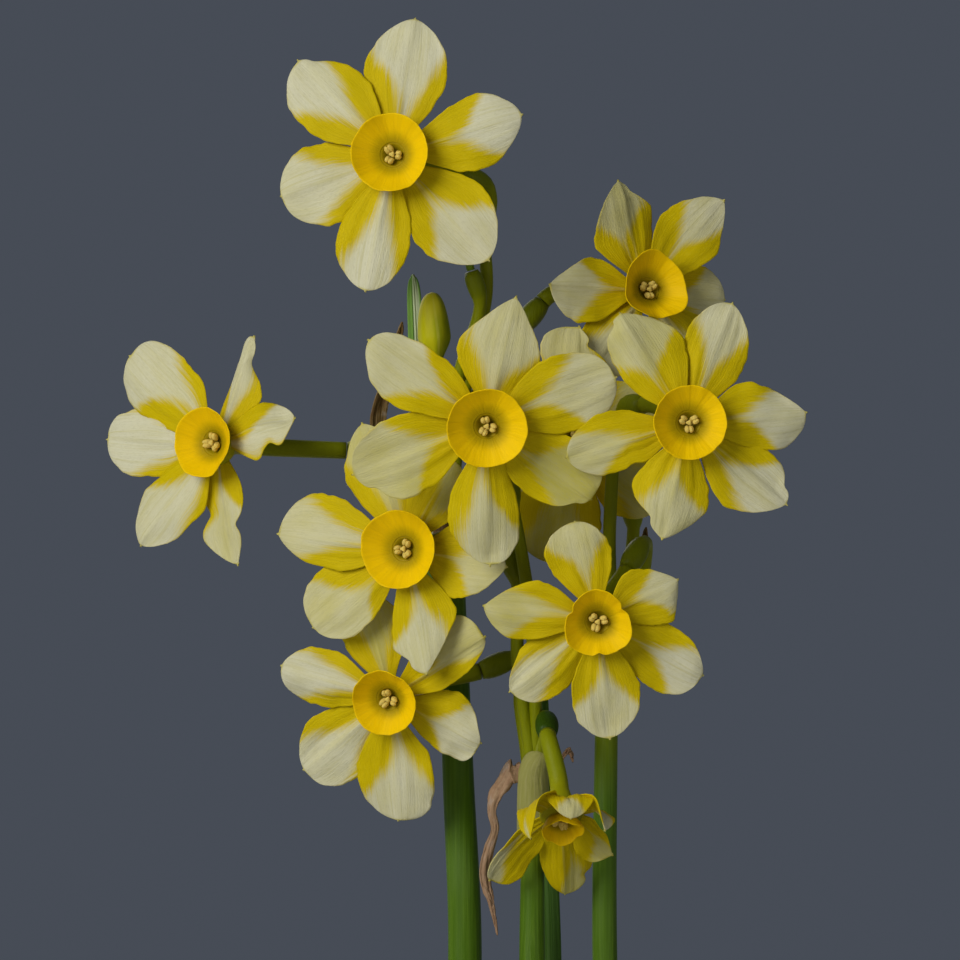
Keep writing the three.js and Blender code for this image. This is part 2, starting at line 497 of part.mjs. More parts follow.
// A papery bract: a wrap round the top of the stem that narrows into a thin tail
function bract({ axis, lean, radius, turnFrom, bottom, half, close, hug, twist, tail }) {
  const away = new THREE.Vector3(Math.cos(rad(turnFrom)), Math.sin(rad(turnFrom)), 0);
  const low = vec(axis).setZ(bottom).addScaledVector(away, radius).setX(axis[0] + lean + away.x * radius);
  const high = vec(axis).addScaledVector(away, radius);
  const side = new THREE.Vector3(-away.y, away.x, 0).negate();
  const open = (s) => Math.max(0, 1 - s / close);
  const wrapped = (s) => radius * WRAP * open(s) ** hug[0];
  const hanging = (s) => half * (1 - open(s)) * (1 - s ** 4) ** 0.6;
  return ribbon(smooth([low, high, ...tail.map(vec)]), side, {
    half: (s) => (s >= 1 ? 0 : wrapped(s) + hanging(s)),
    bow: (s) => WRAP * open(s) ** hug[1] + 0.5 * (1 - open(s)),
    turn: (s) => rad(twist) * THREE.MathUtils.smoothstep(s, 0.3, 0.6), thick: PAPER, cells: 6, rows: 7 });
}

// A dry strip of bract that hangs from the wrap
function strip({ route, side, half }) {
  return ribbon(smooth(route.map(vec)), vec(side), {
    half: (s) => (s >= 1 ? 0 : half * (0.75 + 0.3 * Math.cos(11 * (s - 0.2))) * (1 - s ** 3) ** 0.6),
    bow: () => 0.7, turn: (s) => 0.5 * Math.sin(6 * s), thick: PAPER, cells: 2, rows: route.length - 1 });
}

function bulbOutline(grow) {
  const { radius, depth, neck, neckRise } = BULB;
  return [[0, -depth - grow], [7 + grow, -depth - grow], [12.5 + grow, -depth + 4 - grow],
    [radius + grow, -depth + 14], [radius - 1 + grow, -depth + 25], [10.5 + grow, -depth + 36],
    [neck + 0.4 + grow, -depth + 44], [neck + grow, neckRise]];
}

function bulb([x, y]) {
  const outline = [...bulbOutline(0), [BULB.well, BULB.neckRise], [BULB.well, -BULB.wellDepth],
    [0, -BULB.wellDepth]];
  const body = new THREE.LatheGeometry(outline.map(([r, z]) => new THREE.Vector2(r, z)), BULB.sides);
  body.rotateX(Math.PI / 2);
  body.translate(x, y, SOIL.top);
  return closed(body);
}

function bulbSocket([x, y]) {
  const outline = [...bulbOutline(CLEAR + 0.05), [BULB.neck + CLEAR + 0.05, 20], [0, 20]];
  const body = new THREE.LatheGeometry(outline.map(([r, z]) => new THREE.Vector2(r, z)), BULB.sides);
  body.rotateX(Math.PI / 2);
  body.translate(x, y, SOIL.top);
  return closed(body);
}

// The pot's inner wall at a height above its floor
function potInside(z) {
  const share = (z - POT.floor) / (POT.height - POT.floor);
  return POT.footRadius - POT.wall + (POT.bodyRadius - POT.footRadius + 1) * share;
}

function soil() {
  const random = randomSource(SOIL.seed);
  const gap = CLEAR + 0.3;
  const low = POT.floor + CLEAR;
  const outline = [[0, low], [potInside(low) - gap, low], [potInside(SOIL.top) - gap, SOIL.top - 1],
    [potInside(SOIL.top) - 6, SOIL.top + 0.5], [44, SOIL.top], [27, SOIL.top + 0.6], [0, SOIL.top + 1]];
  const body = new THREE.LatheGeometry(outline.map(([r, z]) => new THREE.Vector2(r, z)), SOIL.sides);
  body.rotateX(Math.PI / 2);
  const ground = closed(body);
  const place = ground.attributes.position;
  for (let i = 0; i < place.count; i++) {
    if (place.getZ(i) > SOIL.top - 0.5) place.setZ(i, place.getZ(i) + SOIL.lump * (random() - 0.5));
  }
  const sockets = STEMS.map((stem) => solid(bulbSocket(stem.bulb)));
  return surface(sockets.reduce((whole, socket) => whole.subtract(socket), solid(ground)));
}

function pot() {
  const { height, rimRadius, rimDepth, rimStep, bodyRadius, footRadius, floor, sides } = POT;
  const inner = potInside(height);
  const outline = [[0, 0], [footRadius - 1.5, 0], [footRadius, 1.5], [bodyRadius - 1, height - rimDepth],
    [rimRadius - 1, height - rimDepth - 0.5 + rimStep / 2], [rimRadius, height - 2], [rimRadius - 2, height],
    [inner + 1.5, height], [inner, height - 1.5], [potInside(floor), floor], [0, floor]];
  const body = new THREE.LatheGeometry(outline.map(([r, z]) => new THREE.Vector2(r, z)), sides);
  body.rotateX(Math.PI / 2);
  let clay = solid(closed(body));
  for (let i = 0; i < POT.holes; i++) {
    const hole = new THREE.CylinderGeometry(POT.holeRadius, POT.holeRadius, 3 * floor, 12);
    hole.rotateX(Math.PI / 2);
    const angle = (2 * Math.PI * i) / POT.holes + 0.5;
    hole.translate(POT.holeCircle * Math.cos(angle), POT.holeCircle * Math.sin(angle), floor / 2);
    clay = clay.subtract(solid(closed(hole)));
  }
  return surface(clay);
}

// The look of each kind of piece, for plain views of the model
const finish = (color, roughness) => new THREE.MeshStandardMaterial({ color, roughness, metalness: 0 });
const LOOK = {
  petal: () => finish(0xe2d36a, 0.6), cup: () => finish(0xe0b400, 0.55), pollen: () => finish(0xd9c060, 0.7),
  stem: () => finish(0x45691c, 0.5), leaf: () => finish(0x3c6a2a, 0.5), bud: () => finish(0xb8b83a, 0.55),
  paper: () => finish(0x8a7048, 0.8), bulb: () => finish(0x7a5330, 0.8), soil: () => finish(0x3a2a1e, 0.95),
  clay: () => finish(0xb0633e, 0.85),
};

const plant = new THREE.Group();

function place(name, geometry, look, group = plant) {
  const mesh = new THREE.Mesh(geometry, look());
  mesh.name = name;
  group.add(mesh);
}

place('pot', pot(), LOOK.clay);
place('soil', soil(), LOOK.soil);
STEMS.forEach((stem, index) => {
  place(`bulb_0${index + 1}`, bulb(stem.bulb), LOOK.bulb);
  place(stem.name, flowerStem(stem, index), LOOK.stem);
});

FLOWERS.forEach((flower, index) => {
  const frame = facing(flower);
  const group = new THREE.Group();
  group.applyMatrix4(frame);
  place(`${flower.name}_tepals`, perianth(flower, frame), LOOK.petal, group);
  place(`${flower.name}_cup`, cup(flower.cup), LOOK.cup, group);
  place(`${flower.name}_stamens`, stamens(index), LOOK.pollen, group);
  plant.add(group);
});

BUDS.forEach((one) => place(one.name, bud(one), LOOK.bud));
TALL_LEAVES.forEach((one) => place(one.name, tallLeaf(one), LOOK.leaf));
LOW_LEAVES.forEach((one, index) => {
  place(`leaf_${String(index + 3).padStart(2, '0')}`, lowLeaf(one, index), LOOK.leaf);
});

place('bract_01', bract(BRACTS[0]), LOOK.paper);
place('bract_02', join([bract(BRACTS[1]), strip(HANGING), strip(CURL)]), LOOK.paper);
place('bract_03', bract(BRACTS[2]), LOOK.paper);

export default plant;
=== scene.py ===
"""The looks of a potted daffodil: ten small-cupped flowers on three stems, in a plain clay pot."""
import math
import random

import bmesh
import bpy
from bpy.props import FloatProperty, FloatVectorProperty, PointerProperty
from mathutils import Euler, Matrix, Quaternion, Vector, noise


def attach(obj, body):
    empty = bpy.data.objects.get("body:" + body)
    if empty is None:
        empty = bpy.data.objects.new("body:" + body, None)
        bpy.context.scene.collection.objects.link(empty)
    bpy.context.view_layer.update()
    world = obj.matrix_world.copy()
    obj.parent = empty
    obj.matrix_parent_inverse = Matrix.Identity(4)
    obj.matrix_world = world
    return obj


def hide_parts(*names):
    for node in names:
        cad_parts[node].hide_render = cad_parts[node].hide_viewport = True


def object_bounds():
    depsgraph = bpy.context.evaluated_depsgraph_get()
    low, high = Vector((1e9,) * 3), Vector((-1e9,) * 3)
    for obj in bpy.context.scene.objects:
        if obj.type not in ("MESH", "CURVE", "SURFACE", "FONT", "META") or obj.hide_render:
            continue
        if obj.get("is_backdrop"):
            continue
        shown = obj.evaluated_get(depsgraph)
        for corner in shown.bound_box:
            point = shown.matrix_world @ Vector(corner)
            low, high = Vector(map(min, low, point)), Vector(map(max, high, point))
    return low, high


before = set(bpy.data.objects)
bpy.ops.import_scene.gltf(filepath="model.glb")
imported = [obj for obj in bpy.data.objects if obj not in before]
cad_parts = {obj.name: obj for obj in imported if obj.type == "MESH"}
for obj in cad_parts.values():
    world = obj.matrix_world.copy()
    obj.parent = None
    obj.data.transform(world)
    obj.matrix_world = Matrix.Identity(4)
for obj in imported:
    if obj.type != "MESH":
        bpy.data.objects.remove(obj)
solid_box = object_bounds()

bl_info = {
    "name": "Potted Daffodil",
    "version": (1, 0, 0),
    "blender": (4, 5, 0),
    "location": "View3D > Sidebar > Daffodil",
    "description": "Makes the flowers, stems, leaves and pot of a potted daffodil",
    "category": "Add Mesh",
}

MM = 0.001
TAU = 2 * math.pi
rad = math.radians

# All sizes in these tables are millimetres, and angles are degrees.
# GAP is what lies between a piece and the one that it grows from.
GAP = 0.3
SOIL_TOP = 103
BULB = {"radius": 16, "depth": 50, "neck": 7.4, "rise": 5, "well": 9}
POT = {"height": 115, "rim_radius": 72, "rim_depth": 24, "body_radius": 66, "foot_radius": 50,
       "wall": 5, "floor": 9, "hole_radius": 5, "hole_circle": 24, "holes": 3, "first_hole": 28.6479}
# The compost's lumps are pairs of a fineness and a height, and its crumbs' sizes a least and a greatest
SOIL = {"wall_gap": 0.6, "lumps": ((0.12, 0.9), (0.5, 0.5), (1.6, 0.3)), "crumbs": 420,
        "sizes": (0.5, 1.5), "bark": 0.25}
ROOT = SOIL_TOP - BULB["well"] + GAP
STEM = {"upright": 8, "spacing": 2.4, "end": 0.75}
LEAF = {"start": 5.25, "upright": 7, "root_half": 2, "bow": 0.42, "low_tip": 0.5, "thick": 1, "thin": 0.65}
TEPAL = {"root": 3.4, "foot": 2.1, "swell": 1.3, "near_tip": 0.91, "blunt": 1.06, "least_blunt": 0.3,
         "whorl": 0.6, "bow": 0.22, "body_end": 0.985, "nub": 0.5, "nub_from": 0.962,
         "least_bend": 0.1146, "thin": 0.6}
# How far along a tepal its white starts to widen, how far across it ends, and how slowly it opens
WEDGE = {"start": 0.12, "full": 1.1, "curve": 2.3}
# The fineness and height of each noise that ruffles a tepal's edges and pleats its face
RUFFLES = ((4.5, 0.07), (13, 0.045))
PLEATS = ((1.4, 1.15), (4.5, 0.3), (11, 0.09))
TUBE = {"radius": 1.95, "spread": 0.2, "steps": 18, "sides": 40, "end": 6.5, "pull": 0.4}
# The radius and height of the tube's flare, from its back over the lip into the throat
FLARE = [(2.5, -5.2), (2.9, -3.9), (3.5, -2.6), (4.2, -1.6), (4.8, -0.9), (5, -0.3), (4.9, 0.4),
         (4.5, 0.9), (3.8, 1.15), (3.2, 1.4), (2.95, 1.75), (2.75, 1.8), (2.5, 1.66), (2.2, 1.4),
         (1.8, 1), (1.3, 0.55), (0.8, 0.2), (0.3, 0.05)]
CUP = {"foot": 1.4, "mouth": 2.9, "curve": 1.45, "thick": 0.5, "thin": 0.7}
# The height and radius of the style, which ends in a knob
STYLE = [(-0.2, 0.3), (0.3, 0.32), (0.7, 0.32), (1.1, 0.34), (2.1, 0.36), (2.4, 0.62), (2.8, 0.6),
         (3, 0.3)]
ANTHER = {"half": (0.74, 0.62, 1.2), "apart": 0.42, "out": 1.4, "up": 2.1,
          "stalk": (0.1, 0.5, 1, 1.5), "stalk_radius": 0.2}
OVARY = {"radius": 2.75, "length": 9, "end": 2, "end_from": 0.985, "stalk": 1.5, "stalk_root": 7,
         "spacing": 1.6, "in_bud": 0.8, "ripe": 0.3}
BUD_NECK = 0.42
# How finely each piece is divided: across and along, or along and round
FINE = {"tepal": (36, 64), "leaf": (16, 110), "bract": (30, 70), "strip": (12, 90), "cup": (24, 120),
        "bud": (64, 48), "bulb": (60, 72), "soil": (70, 180), "pot": (30, 144), "stem": 40, "stalk": 24,
        "style": 14, "filament": 8, "hole": 48}

STEMS = [
    {"bulb": (-22, 10), "foot": 4.3, "top": 3,
     "route": [(-20.5, 11, 150), (-17.3, 12, 212), (-18.9, 12, 256), (-21.2, 12, 318.8)]},
    {"bulb": (0, -16), "foot": 3.9, "top": 2.45,
     "route": [(-0.8, -11, 145), (-1.8, -1, 213), (-1.6, -1, 249.8)]},
    {"bulb": (20, 12), "foot": 3.1, "top": 2.6,
     "route": [(17.5, 8, 150), (15, 4, 213), (15.4, 4, 272.7)]},
]

# Each flower: the middle of its ring of tepals, the way it looks, its ovary and stalk, and its cup's rim
# radius, height, lobes, their depth and their turn; a lobed cup may have notches between its lobes.
# Each tepal: its direction, length, rise at the root, further rise by the tip and twist; then its left and
# right edge, each a greatest half width, how far along that is, and the share of it that is left near the
# tip; then its white wedge, which is the share of the half width at its foot to the left and right and how
# far along it fills each side; then how white it is.
FLOWERS = [
    {"stem": 0, "at": (-33.4, -15, 397.2), "yaw": -9, "pitch": 5, "cup": (9.15, 5.6, 6, 0.02, 0),
     "ovary": (-18.3, 2.8, 394.2), "aim": (-0.75, -0.45, 0.48),
     "via": [(-17, 10.5, 346), (-12.4, 8.5, 366), (-12.6, 8, 379)],
     "tepals": [
         (83, 32.5, -2, -6, 0, (9.7, 0.56, 0.47), (9.4, 0.53, 0.46), (0, 0.3, 0.72, 0.74), 0.94),
         (135.6, 32.5, -2, -8, 0, (10, 0.57, 0.61), (8.2, 0.54, 0.34), (0.15, 0.05, 0.76, 0.9), 0.95),
         (198.2, 28.2, -3, -6, 0, (10.2, 0.59, 0.58), (9, 0.6, 0.53), (0.35, 0.2, 0.77, 0.81), 0.92),
         (258, 31.8, -2, -8, 4, (8, 0.57, 0.52), (9.2, 0.61, 0.56), (0.2, 0.1, 0.9, 0.9), 0.97),
         (312.5, 32.5, -3, -6, 0, (10.2, 0.55, 0.47), (9.8, 0.57, 0.42), (-0.1, -0.05, 0.75, 0.72), 0.92),
         (17.5, 31, 0, -4, 6, (7.9, 0.7, 0.52), (9.3, 0.56, 0.4), (-0.3, 0, 0.75, 0.8), 0.98)]},
    {"stem": 0, "at": (24.2, 6, 366.9), "yaw": 25, "pitch": 12, "cup": (8.1, 5.8, 3, 0.07, 90),
     "ovary": (0.6, 12, 364.6), "aim": (0.62, 0.1, 0.78), "via": [(-18, 12, 338), (-9, 12.4, 350)],
     "tepals": [
         (98, 27, 2, -4, 10, (9.7, 0.42, 0.26), (7.4, 0.72, 0.35), (0.1, -0.4, 0.6, 0.82), 0.67),
         (177, 24.5, -3, 6, 0, (8.5, 0.58, 0.52), (7.4, 0.45, 0.22), (-0.05, -0.15, 0.72, 0.63), 0.8),
         (232, 25, -3, -4, 0, (7.5, 0.56, 0.45), (7.5, 0.56, 0.45), (0.2, 0.2, 0.8, 0.85), 0.8),
         (301, 25.5, -3, -6, 0, (7.5, 0.56, 0.45), (7.5, 0.56, 0.45), (0.2, 0.2, 0.8, 0.8), 0.7),
         (357, 22, -2, -8, 0, (7.5, 0.6, 0.58), (7.5, 0.6, 0.55), (-0.15, 0.2, 0.77, 0.82), 0.76),
         (46, 29.5, 6, 12, -8, (8.5, 0.51, 0.41), (7, 0.6, 0.3), (0, -0.25, 0.8, 0.83), 0.87)]},
    {"stem": 0, "at": (-73.8, -6, 331.8), "yaw": -36, "pitch": 3, "cup": (8.2, 5.8, 6, 0.02, 0),
     "ovary": (-44.5, 8, 330.2), "aim": (-0.99, -0.1, 0.04), "via": [(-25, 12, 327.5)],
     "tepals": [
         (72.8, 26, -2, -6, 20, (2.2, 0.4, 0.77), (6.8, 0.45, 0.2), (0.3, 0.2, 0.5, 0.75), 0.9),
         (145, 36.4, -3, -8, 0, (8.6, 0.69, 0.78), (8.9, 0.35, 0.68), (-0.25, 0.5, 0.75, 0.7), 0.9),
         (178, 36.2, -2, -8, 0, (8.6, 0.56, 0.59), (8, 0.59, 0.6), (0.5, 0.5, 0.78, 0.8), 0.98),
         (225, 33.6, -3, -6, 0, (7.7, 0.36, 0.36), (8.2, 0.67, 0.66), (0.6, 0.1, 0.75, 0.66), 0.9),
         (277, 28.4, -4, -12, 12, (5, 0.3, 0.22), (9.3, 0.67, 0.46), (-0.1, 0.25, 0.5, 0.7), 0.75),
         (15.2, 22.2, 0, -10, -34, (6.8, 0.56, 0.38), (7.2, 0.48, 0.46), (-0.3, 0.75, 0.7, 1.05), 0.9)]},
    {"stem": 1, "at": (-12.3, -41, 335.8), "yaw": 0, "pitch": -10, "cup": (9.2, 5.4, 6, 0.02, 0),
     "ovary": (-8.2, -19, 325), "aim": (-0.2, -0.5, 0.84), "via": [(-0.9, -1.1, 260), (-2.2, -10, 292)],
     "tepals": [
         (77, 29.5, -2, -4, 0, (10.4, 0.49, 0.25), (9.3, 0.43, 0.22), (0.3, 0.05, 0.67, 0.56), 0.76),
         (144.5, 32.8, -2, -6, 0, (8.7, 0.63, 0.5), (6.6, 0.42, 0.58), (0, 0, 0.68, 0.63), 0.8),
         (201.6, 32.6, -3, -4, 0, (9.6, 0.62, 0.46), (9.1, 0.48, 0.56), (-0.15, 0.1, 0.6, 0.66), 0.66),
         (271.4, 32.9, -4, -2, 0, (6.8, 0.65, 0.7), (9.3, 0.61, 0.5), (-0.25, 0.3, 0.75, 0.92), 0.8),
         (323.5, 29.5, 2, -12, 0, (9.4, 0.65, 0.72), (7.3, 0.43, 0.48), (-0.15, 0, 0.6, 0.78), 0.48),
         (20, 31, -3, -2, 0, (9.2, 0.48, 0.63), (8.5, 0.6, 0.58), (0.1, -0.2, 0.75, 0.7), 0.77)]},
    {"stem": 2, "at": (32.7, -40, 336.2), "yaw": 5, "pitch": 0, "cup": (8.5, 5.2, 5, 0.02, 30),
     "ovary": (23.2, -18.5, 340.4), "aim": (0.5, -0.84, 0.16), "via": [(16.6, 1.2, 283), (15.9, -8.6, 314)],
     "tepals": [
         (69, 29, -2, -2, 0, (7.4, 0.61, 0.55), (7.7, 0.53, 0.41), (0, 0.05, 0.82, 0.8), 0.85),
         (121.9, 29, -2, 2, 0, (7.2, 0.49, 0.62), (9.3, 0.56, 0.32), (0.1, -0.35, 0.66, 0.66), 0.66),
         (196, 28.5, -3, 4, 0, (6.6, 0.46, 0.52), (7.4, 0.57, 0.5), (-0.1, 0, 0.75, 0.92), 0.7),
         (258, 27, -3, -4, 0, (8.7, 0.62, 0.33), (9.1, 0.54, 0.3), (-0.2, 0, 0.7, 0.75), 0.74),
         (321, 29.4, -2, -6, 0, (7, 0.47, 0.46), (9, 0.58, 0.38), (-0.35, 0.2, 0.74, 0.77), 0.93),
         (5, 27.5, -2, -8, 0, (8, 0.44, 0.24), (7.8, 0.65, 0.62), (-0.1, -0.2, 0.73, 0.7), 0.9)]},
    {"stem": 1, "at": (-30.3, -20, 307.8), "yaw": -21, "pitch": 0, "cup": (9.2, 5.8, 6, 0.02, 20),
     "ovary": (-8, -8.6, 308.6), "aim": (-0.3, -0.12, 0.95), "via": [(-2.2, -1.2, 260), (-5.2, -5.4, 282)],
     "tepals": [
         (112.8, 31.2, -2, -4, 0, (8.5, 0.62, 0.42), (8.3, 0.48, 0.35), (0.1, 0.3, 0.8, 0.75), 0.6),
         (174.3, 33.3, -2, -6, 0, (6.7, 0.45, 0.4), (10.4, 0.61, 0.58), (0.05, 0.3, 0.86, 0.86), 0.8),
         (216.7, 30.8, -2, -6, 0, (7.9, 0.62, 0.57), (9.1, 0.7, 0.7), (0, -0.3, 0.52, 0.77), 0.73),
         (279, 29, -3, 0, 0, (9.2, 0.5, 0.2), (7.6, 0.73, 0.48), (0.1, -0.2, 0.7, 0.73), 0.82),
         (350.2, 24, -2, -2, 0, (8.5, 0.46, 0.35), (9.2, 0.46, 0.3), (-0.15, -0.2, 0.8, 0.66), 0.7),
         (62, 23, -3, -14, 0, (6.2, 0.55, 0.45), (6.5, 0.5, 0.55), (-0.35, 0.2, 1.1, 0.55), 0.45)]},
    {"stem": 1, "at": (-34.2, -8, 273.9), "yaw": -17, "pitch": -14, "cup": (7.8, 5.6, 5, 0.03, 0),
     "ovary": (-13.6, 2.4, 279.4), "aim": (-0.93, -0.15, -0.25), "via": [(-3, 0.7, 260), (-4.6, 1.6, 272)],
     "tepals": [
         (103, 25, -3, -8, 0, (8.3, 0.55, 0.41), (7.2, 0.55, 0.47), (0.2, 0.25, 0.92, 0.8), 0.5),
         (166, 27.5, -3, -6, 0, (7, 0.56, 0.7), (7, 0.52, 0.47), (0.2, 0.35, 0.83, 0.94), 0.96),
         (218.5, 30.5, -3, -6, 0, (9.2, 0.65, 0.68), (7.9, 0.64, 0.47), (0.5, 0.1, 0.8, 0.88), 0.93),
         (268, 30.5, -3, -4, 0, (9.3, 0.57, 0.74), (9.1, 0.58, 0.6), (0.25, -0.15, 0.72, 0.83), 0.9),
         (329.7, 23.3, -3, -6, 0, (8.7, 0.56, 0.3), (6.4, 0.6, 0.9), (-0.25, -0.05, 0.72, 0.65), 0.9),
         (31.8, 29.3, 3, 6, 0, (7.7, 0.62, 0.88), (5.1, 0.42, 0.42), (-0.1, 0, 0.72, 0.94), 0.62)]},
    {"stem": 2, "at": (12.7, -30, 291.9), "yaw": 0, "pitch": -10, "cup": (7.7, 5.2, 3, 0.06, 213),
     "notch": 0.13, "ovary": (19.8, -12.4, 303), "aim": (-0.42, -0.6, -0.68),
     "via": [(16.8, 4.8, 283), (22.6, 3.4, 296), (24.4, -2.4, 308)],
     "tepals": [
         (103, 23, -3, 0, 0, (8.5, 0.67, 0.62), (6.5, 0.6, 0.54), (0, -0.05, 0.82, 0.8), 0.7),
         (173.2, 26.1, -2, -4, 0, (6.8, 0.65, 0.5), (7.4, 0.47, 0.25), (-0.1, 0.25, 0.75, 0.83), 0.6),
         (221, 26.5, -3, -4, 0, (7.5, 0.56, 0.61), (6, 0.58, 0.37), (0, 0.2, 0.88, 0.9), 0.82),
         (276, 28, -2, -4, 0, (7.9, 0.56, 0.51), (7.7, 0.56, 0.58), (0, -0.1, 0.72, 0.7), 0.83),
         (331, 27.5, -3, -2, 0, (6.9, 0.52, 0.42), (8.2, 0.67, 0.68), (-0.1, -0.15, 0.88, 0.82), 0.95),
         (26, 20.5, -2, -14, 0, (7.1, 0.46, 0.26), (8, 0.73, 0.36), (-0.1, -0.2, 0.78, 0.83), 0.8)]},
    {"stem": 1, "at": (4.6, -22, 247.7), "yaw": 5, "pitch": -55, "cup": (4.9, 4.8, 3, 0.08, 30),
     "notch": 0.06, "ovary": (1.6, -11.6, 265.4), "aim": (0.05, -0.93, -0.36), "ripe": 1,
     "via": [(-0.6, -2.2, 257), (0, -1.8, 263)],
     "tepals": [
         (84, 16.5, -20, 145, 0, (5.4, 0.5, 0.45), (5.4, 0.5, 0.45), (-0.3, -0.3, 0.9, 0.9), 0.7),
         (137, 20.8, -18, 145, 12, (3.4, 0.45, 0.3), (6.6, 0.4, 0.2), (-0.4, -0.4, 1.05, 1.2), 0.6),
         (232, 26, 0, 32, 0, (6.2, 0.65, 0.88), (3.3, 0.3, 0.6), (-0.6, 0.3, 1.1, 0.65), 0.75),
         (276, 28, 0, 18, 0, (6.5, 0.65, 0.66), (5.3, 0.56, 0.51), (0.1, -0.6, 0.88, 1.2), 0.5),
         (317, 18, 2, 34, 0, (3.5, 0.3, 0.2), (6.5, 0.8, 0.88), (-0.3, -0.3, 0.9, 0.95), 0.5),
         (33, 16.6, -18, 128, 0, (5.6, 0.48, 0.3), (4, 0.5, 0.3), (-0.2, 0, 0.95, 0.9), 0.8)]},
    {"stem": 2, "at": (7.9, -6, 332.5), "yaw": 0, "pitch": 0, "cup": (8.6, 5.6, 6, 0.02, 0),
     "ovary": (20.7, 5, 321.4), "aim": (-0.1, 0.1, 0.98), "via": [(15.6, 5.6, 283), (20, 5.6, 300)],
     "tepals": [
         (87.7, 26.4, -2, -6, 0, (8.5, 0.7, 0.86), (7.9, 0.54, 0.22), (0.2, 0.25, 0.7, 0.9), 0.65),
         (148, 24, -2, -6, 0, (7.5, 0.56, 0.45), (7.5, 0.56, 0.45), (0.2, 0.1, 0.8, 0.8), 0.6),
         (208, 24, -2, -6, 0, (7.5, 0.56, 0.45), (7.5, 0.56, 0.45), (0.2, 0.2, 0.8, 0.8), 0.6),
         (258, 29, -2, -2, 0, (10, 0.6, 0.58), (10.2, 0.57, 0.59), (0.2, 0.1, 0.8, 0.95), 0.42),
         (322, 25, -2, 0, 0, (8, 0.56, 0.5), (8, 0.6, 0.58), (0.2, 0.1, 0.75, 0.9), 0.5),
         (30, 22, -3, -16, 0, (7, 0.56, 0.45), (7, 0.56, 0.45), (0.2, 0.2, 0.75, 0.8), 0.5)]},
]

# Dents in a tepal's edges, by flower and tepal: the side, the place along it, how long and how deep each is
LEFT, RIGHT = 1, -1
DENTS = {
    (0, 1): [(RIGHT, 0.9, 0.05, 0.25)],
    (1, 0): [(RIGHT, 0.88, 0.05, 0.3)],
    (2, 0): [(RIGHT, 0.74, 0.14, 0.62), (LEFT, 0.72, 0.16, 0.3)],
    (2, 4): [(LEFT, 0.62, 0.07, 0.45), (RIGHT, 0.5, 0.1, 0.3)],
    (2, 5): [(RIGHT, 0.62, 0.12, 0.35)],
    (3, 2): [(LEFT, 0.86, 0.05, 0.2)],
    (3, 4): [(RIGHT, 0.9, 0.06, 0.3), (LEFT, 0.8, 0.05, 0.2)],
    (4, 1): [(LEFT, 0.93, 0.04, 0.35)],
    (4, 2): [(LEFT, 0.42, 0.08, 0.18)],
    (4, 3): [(RIGHT, 0.8, 0.08, 0.3)],
    (4, 4): [(LEFT, 0.88, 0.05, 0.25)],
    (5, 3): [(RIGHT, 0.85, 0.06, 0.25)],
    (8, 3): [(LEFT, 0.8, 0.06, 0.2)],
    (9, 0): [(RIGHT, 0.8, 0.05, 0.4)],
}

BUDS = [
    {"stem": 0, "ovary": (-23.4, 7.5, 341), "aim": (-0.06, -0.06, 1), "length": 25.6, "radius": 3.5,
     "via": [(-22.6, 10.4, 330)], "swell": 0.66},
    {"stem": 0, "ovary": (-15.8, 3.4, 371.5), "aim": (-0.28, -0.12, 0.95), "length": 15, "radius": 2.2,
     "via": [(-19, 9.4, 346), (-14.2, 5, 361)], "swell": 0.7},
]

TALL_LEAVES = [
    {"bulb": 0, "out": 82, "half": 3.3, "tip": 0.5, "fresh": 1,
     "route": [(-20.4, 18.6, 150), (-18, 20, 213), (-18.6, 20.4, 262), (-26.4, 22, 318), (-29.4, 21, 371)]},
    {"bulb": 1, "out": 80, "half": 3.3, "tip": 0.55,
     "route": [(1.4, -2.6, 150), (2.2, 9, 213), (0.2, 11.4, 262), (-1, 12, 292)]},
]

LOW_LEAVES = [dict(zip(("bulb", "out", "reach", "top", "end", "half"), row)) for row in (
    (0, 142, 74, 196, 150, 3.4), (0, 201, 66, 182, 128, 3), (0, 260, 58, 190, 160, 3.2),
    (1, 224, 78, 186, 134, 3.3), (1, 282, 62, 196, 158, 3), (1, 340, 84, 178, 124, 3.4),
    (2, 326, 60, 190, 148, 3.2), (2, 26, 76, 184, 130, 3.4), (2, 88, 64, 196, 160, 3),
    (2, 150, 58, 180, 150, 3),
)]

STRIPS = [
    {"half": 2.1, "side": (1, 0, 0.2),
     "route": [(-4.9, -1.8, 254), (-6.3, -1.5, 257.6), (-8.4, -1.7, 254.4), (-10.6, -2, 251),
               (-11.2, -2.2, 247.4), (-10.4, -2.3, 243.2), (-11.5, -2.4, 239), (-12.3, -2.4, 234.6),
               (-12.1, -2.4, 230.6), (-11.2, -2.5, 227), (-9.8, -2.6, 219)]},
    {"half": 0.8, "side": (0.8, 0, -0.6),
     "route": [(1.85, -0.4, 246), (3, 1.2, 253), (5.2, 1.6, 259.5), (7, 1.2, 261.2), (7.6, 0.8, 258.6)]},
]
